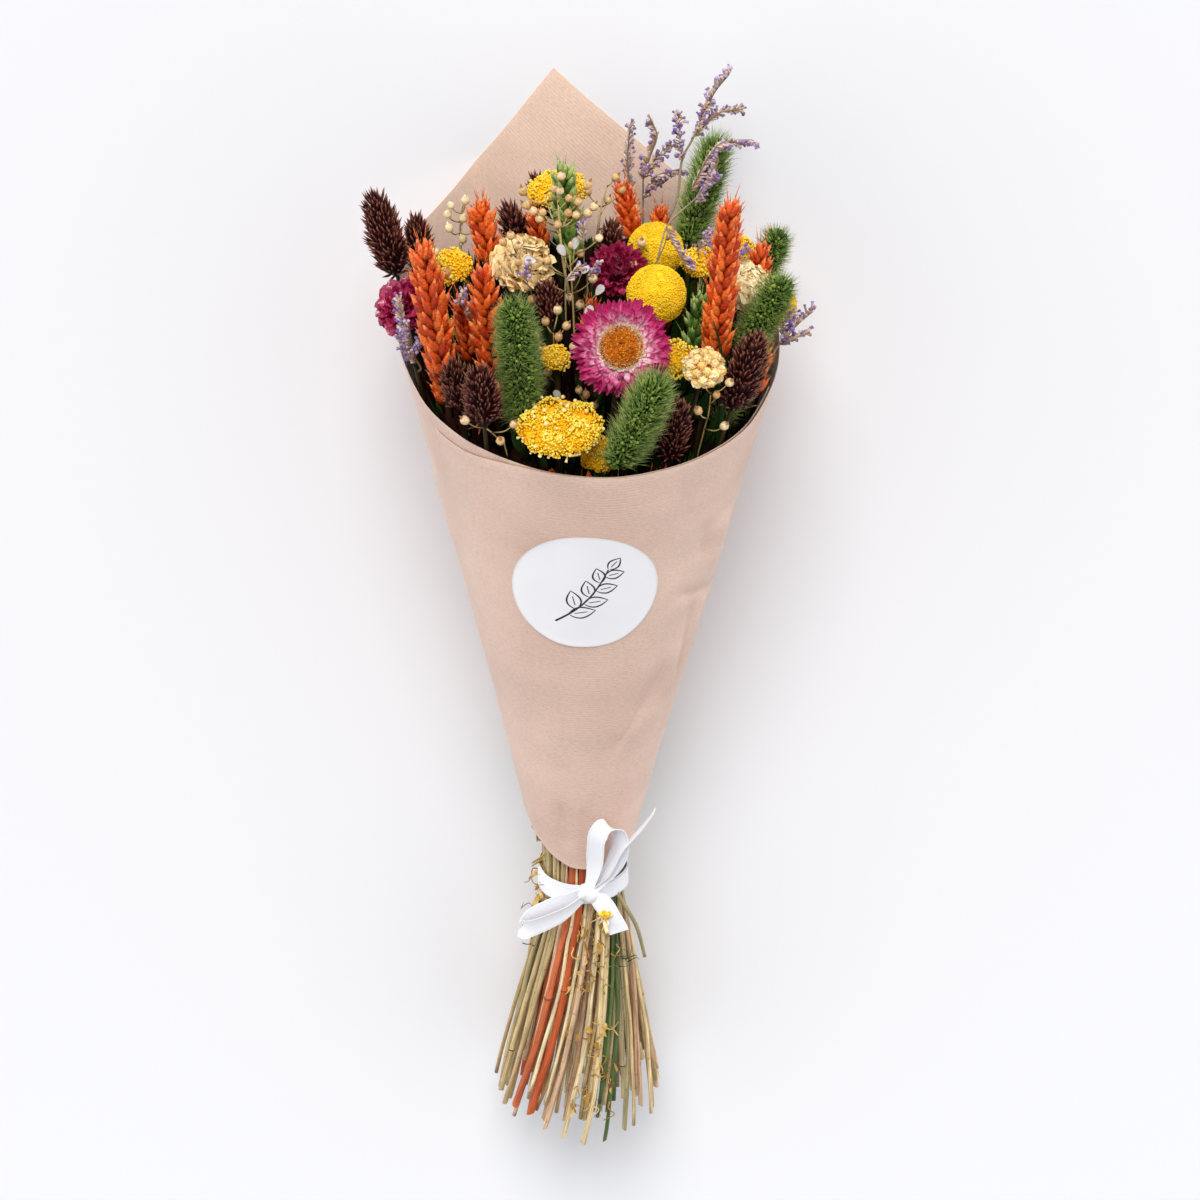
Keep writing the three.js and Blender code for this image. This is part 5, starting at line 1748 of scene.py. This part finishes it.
def plant(s):
    """A stalk of the CAD with its head, as one piece."""
    rng = np.random.default_rng([7, len(s["kind"]), s["number"], int(s["length"])])
    shape = Shape()
    add_stem(shape, s, rng, fan_colour(s, stem_points(s, np.array([s["cut"]]))[0]))
    foot = s["neck"] - s["axis"] * 2
    if s["kind"] == "statice":
        ((first, thick), *others), combs = STATICE[s["number"]]
        statice_spray(shape, [([foot, *first], thick), *others], combs, rng)
    elif s["kind"] == "flax":
        spine, pods = PODS[s["number"]]
        spine = [foot, *spine]
        material = "pod_pale" if s["number"] == PALE_FLAX else "pod"
        thick = np.linspace(0.8, 0.35, 16)
        tube(shape, curve(spine, 16), thick, POD_TWIGS[material], 5, rng.random())
        add_pods(shape, spine, pods, rng, material)
    else:
        back = unit(np.array([0, 1, 0]) - s["axis"][1] * s["axis"])
        axes = np.stack([np.cross(back, s["axis"]), back, s["axis"]], -1)
        shape.take(HEAD_MAKERS[s["kind"]](s, rng).turn(axes, s["neck"]))
    shape.build(f"{s['name']}_plant", s["slot"], s["name"])


# The layers of thin stems, from the outside in, as shares of the bundle's radius.
FILLER_LAYERS = (1.03, 0.875, 0.63)


def filler_stems(shape, stalks, rng):
    """Thin dry stems in the pockets between the stalks, from the cut ends up into the cone."""
    outer = sorted(s["waist_angle"] for s in stalks if s["waist_reach"] == 1)
    for i in range(len(FILLER_LAYERS) * len(outer)):
        angle = outer[i % len(outer)] + TAU / (2 * len(outer)) + rng.normal(0, 0.03)
        reach = FILLER_LAYERS[i // len(outer)]
        top = rng.uniform(284, 312)
        z = np.linspace(rng.uniform(-3, 20), top, 44)
        turn = (SPIRAL_BELOW + rng.normal(0, 0.13)) * np.maximum(0, WAIST_Z - z) / WAIST_Z
        turn = turn - SPIRAL_ABOVE * smoothstep(z, WAIST_Z, 400)
        splay = 1 + rng.uniform(-0.16, 0.1) * smoothstep(WAIST_Z - z, 12, 120)
        radius = lerp(reach, min(reach, 0.86), smoothstep(z, 130, 170)) * bundle_radius(z) * splay
        radius = radius * (1 - 0.1 * smoothstep(z, 250, 400))
        path = off_table(round_axis(angle + turn, radius, z), 2.2)
        sway = np.stack([lumps(path, 39, i), lumps(path, 57, i + 9), 0 * z], -1)
        path = path + 0.35 * sway * (z < 100)[:, None]
        kind = fan_colour({"number": i}, path[0])
        kind = ("stem_tan", "stem_straw")[i % 2] if kind == "stem_orange" else kind
        thick = lerp(0.55, rng.uniform(0.7, 1.15), smoothstep(WAIST_Z - z, -25, 20))
        tube(shape, path, thick, kind, 7, rng.random(), rng.uniform(0, 50))


def on_bundle(degrees, z, out):
    """A place on the outside of the stems."""
    radius = float(bundle_radius(z)) + 2.0 + out
    return off_table(round_axis(math.radians(degrees), radius, z), 1)


# Scraps of dry leaf on the stems, mostly in front below the knot and at the left of the band: from
# and to which height, from and to which angle in degrees, how many, and their size.
SCRAPS = (
    (70, 112, 154, 194, 48, 9.0),
    (12, 58, 150, 196, 40, 8.5),
    (98, 134, 246, 272, 34, 11.0),
    (138, 154, 250, 275, 8, 5.0),
    (85, 110, 120, 150, 5, 6.0),
)
# Thin green threads at the right of the stems, by angle and height, and a dark curl at their left.
THREADS = ((140, 88), (128, 82), (118, 78), (134, 79), (132, 84), (124, 80))
DARK_CURL = (-30, -2, 93)
# A loose stem under the knot, and a scrap of yellow flower beside it.
LOOSE_STEM = [(4, -12, 124), (11, -13, 111), (17, -12, 98), (21, -10, 80)]
YELLOW_SCRAP = np.array([2.5, -31, 115.5])


def dry_scraps(shape, rng):
    """Curled and flat scraps of dry plant that hang on the stems."""
    for low, high, left, right, number, size in SCRAPS:
        over_band = low > 130
        for i in range(number):
            z, degrees = rng.uniform(low, high), rng.uniform(left, right)
            start = on_bundle(degrees, z, -0.8)
            away = unit(start - (axis_x(z), 0, z))
            way = away * rng.uniform(0.0, 0.5) + rng.normal(0, 0.6, 3) - (0, 0, 0.8)
            if i % 3 == 0 or over_band:
                flat = (rng.uniform(1.6, 3.2), 3.0, size * rng.uniform(0.5, 1.0))
                back = away + rng.normal(0, 0.7, 3)
                material = "dark_leaf" if over_band and i % 2 else "gold_leaf"
                scatter(shape, BLADE, [start], way, back, flat, material, rng.random())
            else:
                long, thick = size * rng.uniform(0.6, 1.3), rng.uniform(0.2, 0.42)
                turns = rng.uniform(0.5, 1.5)
                curl(shape, start, way, long, "gold_leaf", rng, thick, turns)
    for degrees, z in THREADS:
        way = (0.9, -0.1, 0.5) + rng.normal(0, 0.3, 3)
        curl(shape, on_bundle(degrees, z, -1), way, 9, "blade", rng, 0.25, 0.3)
    curl(shape, DARK_CURL, (-0.5, -0.1, -0.9), 13, "dark_leaf", rng, 0.45, 1.6)
    tube(shape, curve(LOOSE_STEM, 20), np.linspace(1.1, 0.8, 20), "stem_olive", 7, 0.2, 3.0)
    for i in range(12):
        hangs = i < 8
        way = unit(rng.normal(size=3) * 0.7 + (-0.1, -0.6, -0.9 if hangs else 0.5))
        at, back = [YELLOW_SCRAP + rng.normal(0, 0.6, 3)], rng.normal(size=3)
        size = (1.5, 2.2, 8.0 if hangs else 4.0)
        scatter(shape, BLADE, at, way, back, size, "bud" if i % 3 else "gold_leaf", rng.random())
    for place in YELLOW_SCRAP + rng.normal(0, 1, (9, 3)) * (1.5, 0.5, 0.7) + (0, -1.0, 1.6):
        scatter(shape, LOBED, [place], (0, -0.4, 1), (1, 0, 0), (1.9,) * 3, "yarrow", rng.random())


def thin_stems(stalks, rng):
    """The stems of small filler, with what is caught between them."""
    shape = Shape()
    filler_stems(shape, stalks, rng)
    dry_scraps(shape, rng)
    shape.build("thin_stems", "pale_flax")


# How many leaves fill the cone, how far the deep ones keep off the paper, and how many line its rim. The
# dark ones stand in for the shade inside the cone, as painted shade.
DEEP_SHADE_LEAVES, INNER_GAP, RIM_SHADE_LEAVES = 1000, 8, 760


def deep_shade_leaves(shape, rng):
    """Narrow leaves deep between the heads, which hide the stems; the dark ones darken the inside as painted
    shade.
    """
    count = DEEP_SHADE_LEAVES
    turn, reach = rng.uniform(0, TAU, count), np.sqrt(rng.uniform(0.01, 0.86, count))
    high = rng.uniform(318, 408, count)
    at = off_table(round_axis(turn, reach * (paper_radius(high) - INNER_GAP), high), INNER_GAP)
    ahead = unit(at - (axis_x(140), 0, 140)) + rng.normal(0, 0.2, (count, 3))
    wide, deep = rng.uniform(3.0, 7.0, count), rng.uniform(3, 7, count)
    ceiling = 398 + 0.8 * np.minimum(0, at[:, 1] + 14) + 18 * smoothstep(at[:, 1], -8, 24)
    long = np.minimum(rng.uniform(13, 32, count), np.maximum(6, ceiling - high))
    size = np.stack([wide, deep, long], -1)
    keep = high < ceiling - 4
    # Dark leaves as painted shade, more of them on the left.
    dark = rng.random(count) < 0.6 - 0.25 * np.sign(at[:, 0])
    for chosen, material in ((dark & keep, "dark_leaf"), (~dark & keep, "blade")):
        back, tone = rng.normal(size=(chosen.sum(), 3)), rng.random(chosen.sum()) * 0.8
        scatter(shape, BLADE, at[chosen], ahead[chosen], back, size[chosen], material, tone)


def rim_shade_leaves(shape, rng):
    """Leaves along the inside of the paper; the dark ones are painted shade under the rim, with some green
    and orange-red ones among them.
    """
    count = RIM_SHADE_LEAVES
    turn = rng.uniform(0, TAU, count)
    roll = (turn - PEAK_TURN + math.pi) % TAU - math.pi
    top = np.minimum(rim_z(roll) - 2, 410)
    high = top - rng.uniform(10, 50, count)
    radius = paper_radius(high) - rng.uniform(4.5, 9.5, count)
    at = off_table(round_axis(turn, radius, high), 6)
    out = np.stack([np.sin(turn), np.cos(turn), 0 * turn], -1)
    ahead = UP + out * 0.24 + rng.normal(0, 0.04, (count, 3))
    long = np.minimum(rng.uniform(14, 34, count), top - high)
    size = np.stack([rng.uniform(4, 8, count), rng.uniform(2, 4, count), long], -1)
    hue = rng.random(count) - 0.2 * np.sin(turn)
    green, red = hue < 0.26, hue > 0.9 - 0.3 * np.sin(turn)
    for chosen, material in ((~green & ~red, "dark_leaf"), (green, "blade"), (red, "wheat_orange")):
        tone = rng.random(chosen.sum()) * 0.8
        scatter(shape, BLADE, at[chosen], ahead[chosen], -out[chosen], size[chosen], material, tone)


# One long green blade in front of the right wheat ear.
LONG_BLADE = [(48, -47, 424), (51, -47, 412), (52, -47, 398), (52, -46, 382), (50, -40, 360)]


def inner_leaves(rng):
    """The leaves inside the cone."""
    shape = Shape()
    deep_shade_leaves(shape, rng)
    rim_shade_leaves(shape, rng)
    wide = 2.6 * np.sin(np.linspace(0.05, 2.4, 24))
    tube(shape, curve(LONG_BLADE, 24), wide * 0.6 + 0.15, "blade", 4, 0.2)
    shape.build("inner_leaves", "green_foxtail")


def pod_sprigs(rng):
    """The loose sprigs of pods, the discs and the statice in front."""
    shape = Shape()
    for spine, pods in LOOSE_PODS:
        first = np.array(spine[0], float)
        inwards = axis_x(330) + 0.72 * (first[0] - axis_x(first[2]))
        root = np.array([inwards, first[1] * 0.72, first[2] - 75])
        path = curve([root, *spine], 24)
        tube(shape, path, np.linspace(0.6, 0.28, 24), "pod_twig", 5, rng.random())
        add_pods(shape, spine, pods, rng)
    tube(shape, curve(DISC_STALK, 20), np.linspace(0.6, 0.3, 20), "pod_twig", 5, 0.5)
    for place in DISCS:
        place = np.array(place, float)
        joint = np.array([-12, -15, place[2] - 9]) if place[2] > 400 else place + (3, 4, -14)
        path = curve([joint, lerp(joint, place, 0.6) - (0, 0, 1), place], 7)
        tube(shape, path, 0.22, "pod_twig", 4, 0.4)
        ahead, face = unit(place - joint) + rng.normal(0, 0.2, 3), (rng.normal(0, 0.4), -1, 0.4)
        add_disc(shape, place, ahead, face, rng.uniform(3.6, 4.6), rng)
    lone = []
    for line in LONE_COMBS:
        root = np.array(line[0]) + (0.14 * (axis_x(300) - line[0][0]), 5, -14)
        lone.append(([root, line[0]], 0.25))
    statice_spray(shape, [*FRONT_TWIGS, *lone], [*FRONT_COMBS, *LONE_COMBS], rng)
    shape.build("pod_sprigs", "pale_flax")


# Camera, stage and light


def photo_camera():
    """The camera of the photo."""
    data = bpy.data.cameras.new("photo_view")
    data.lens = PHOTO_LENS
    data.sensor_width = PHOTO_SENSOR
    data.clip_end = 20
    camera = bpy.data.objects.new("photo_view", data)
    turned = Matrix.Rotation(PHOTO_TURN, 4, "X")
    camera.matrix_world = Matrix.Translation(laid(PHOTO_EYE)) @ turned
    bpy.context.scene.collection.objects.link(camera)
    bpy.context.scene.camera = camera


def pale_ground():
    """The large pale floor that the bunch lies on."""
    corners = [(x * FLOOR_HALF, y * FLOOR_HALF, 0) for x, y in ((-1, -1), (1, -1), (1, 1), (-1, 1))]
    mesh = bpy.data.meshes.new("floor")
    mesh.from_pydata(corners, [], [(0, 1, 2, 3)])
    mesh.materials.append(FINISHES["floor"])
    floor = bpy.data.objects.new("floor", mesh)
    bpy.context.scene.collection.objects.link(floor)


def white_room():
    """A white room, brighter towards the sides and the heads than overhead."""
    world = bpy.data.worlds.new("studio")
    world.use_nodes = True
    nodes, links = world.node_tree.nodes, world.node_tree.links

    def result(operation, a, b):
        node = nodes.new("ShaderNodeMath")
        node.operation = operation
        for socket, value in zip(node.inputs, (a, b)):
            if isinstance(value, bpy.types.NodeSocket):
                links.new(value, socket)
            else:
                socket.default_value = value
        return node.outputs[0]

    way = nodes.new("ShaderNodeSeparateXYZ")
    links.new(nodes.new("ShaderNodeTexCoord").outputs["Generated"], way.inputs[0])
    aside = result("POWER", result("ABSOLUTE", way.outputs[0], 0), 1.5)
    sides = result("MULTIPLY", aside, ROOM_SIDES)
    ends = result("MULTIPLY", way.outputs[1], ROOM_ENDS)
    bright = result("ADD", result("ADD", sides, ends), ROOM_TOP)
    links.new(bright, nodes["Background"].inputs["Strength"])
    nodes["Background"].inputs["Color"].default_value = ROOM_COLOUR
    bpy.context.scene.world = world


def key_light():
    """One large soft light from the front."""
    data = bpy.data.lights.new("key_light", "SUN")
    data.energy = KEY_ENERGY
    data.angle = KEY_SPREAD
    key = bpy.data.objects.new("key_light", data)
    key.rotation_euler = KEY_TURN
    bpy.context.scene.collection.objects.link(key)


def plain_view():
    """The colours as they are lit, with no film curve."""
    settings = bpy.context.scene.view_settings
    settings.view_transform = "Standard"
    settings.look = "None"
    settings.exposure = 0.0


stalks = read_stalks()
for stalk_of_cad in stalks:
    plant(stalk_of_cad)
kraft_wrap()
satin_bow()
sticker()
shared_rng = np.random.default_rng(404)
thin_stems(stalks, shared_rng)
inner_leaves(shared_rng)
pod_sprigs(shared_rng)
photo_camera()
pale_ground()
white_room()
key_light()
plain_view()
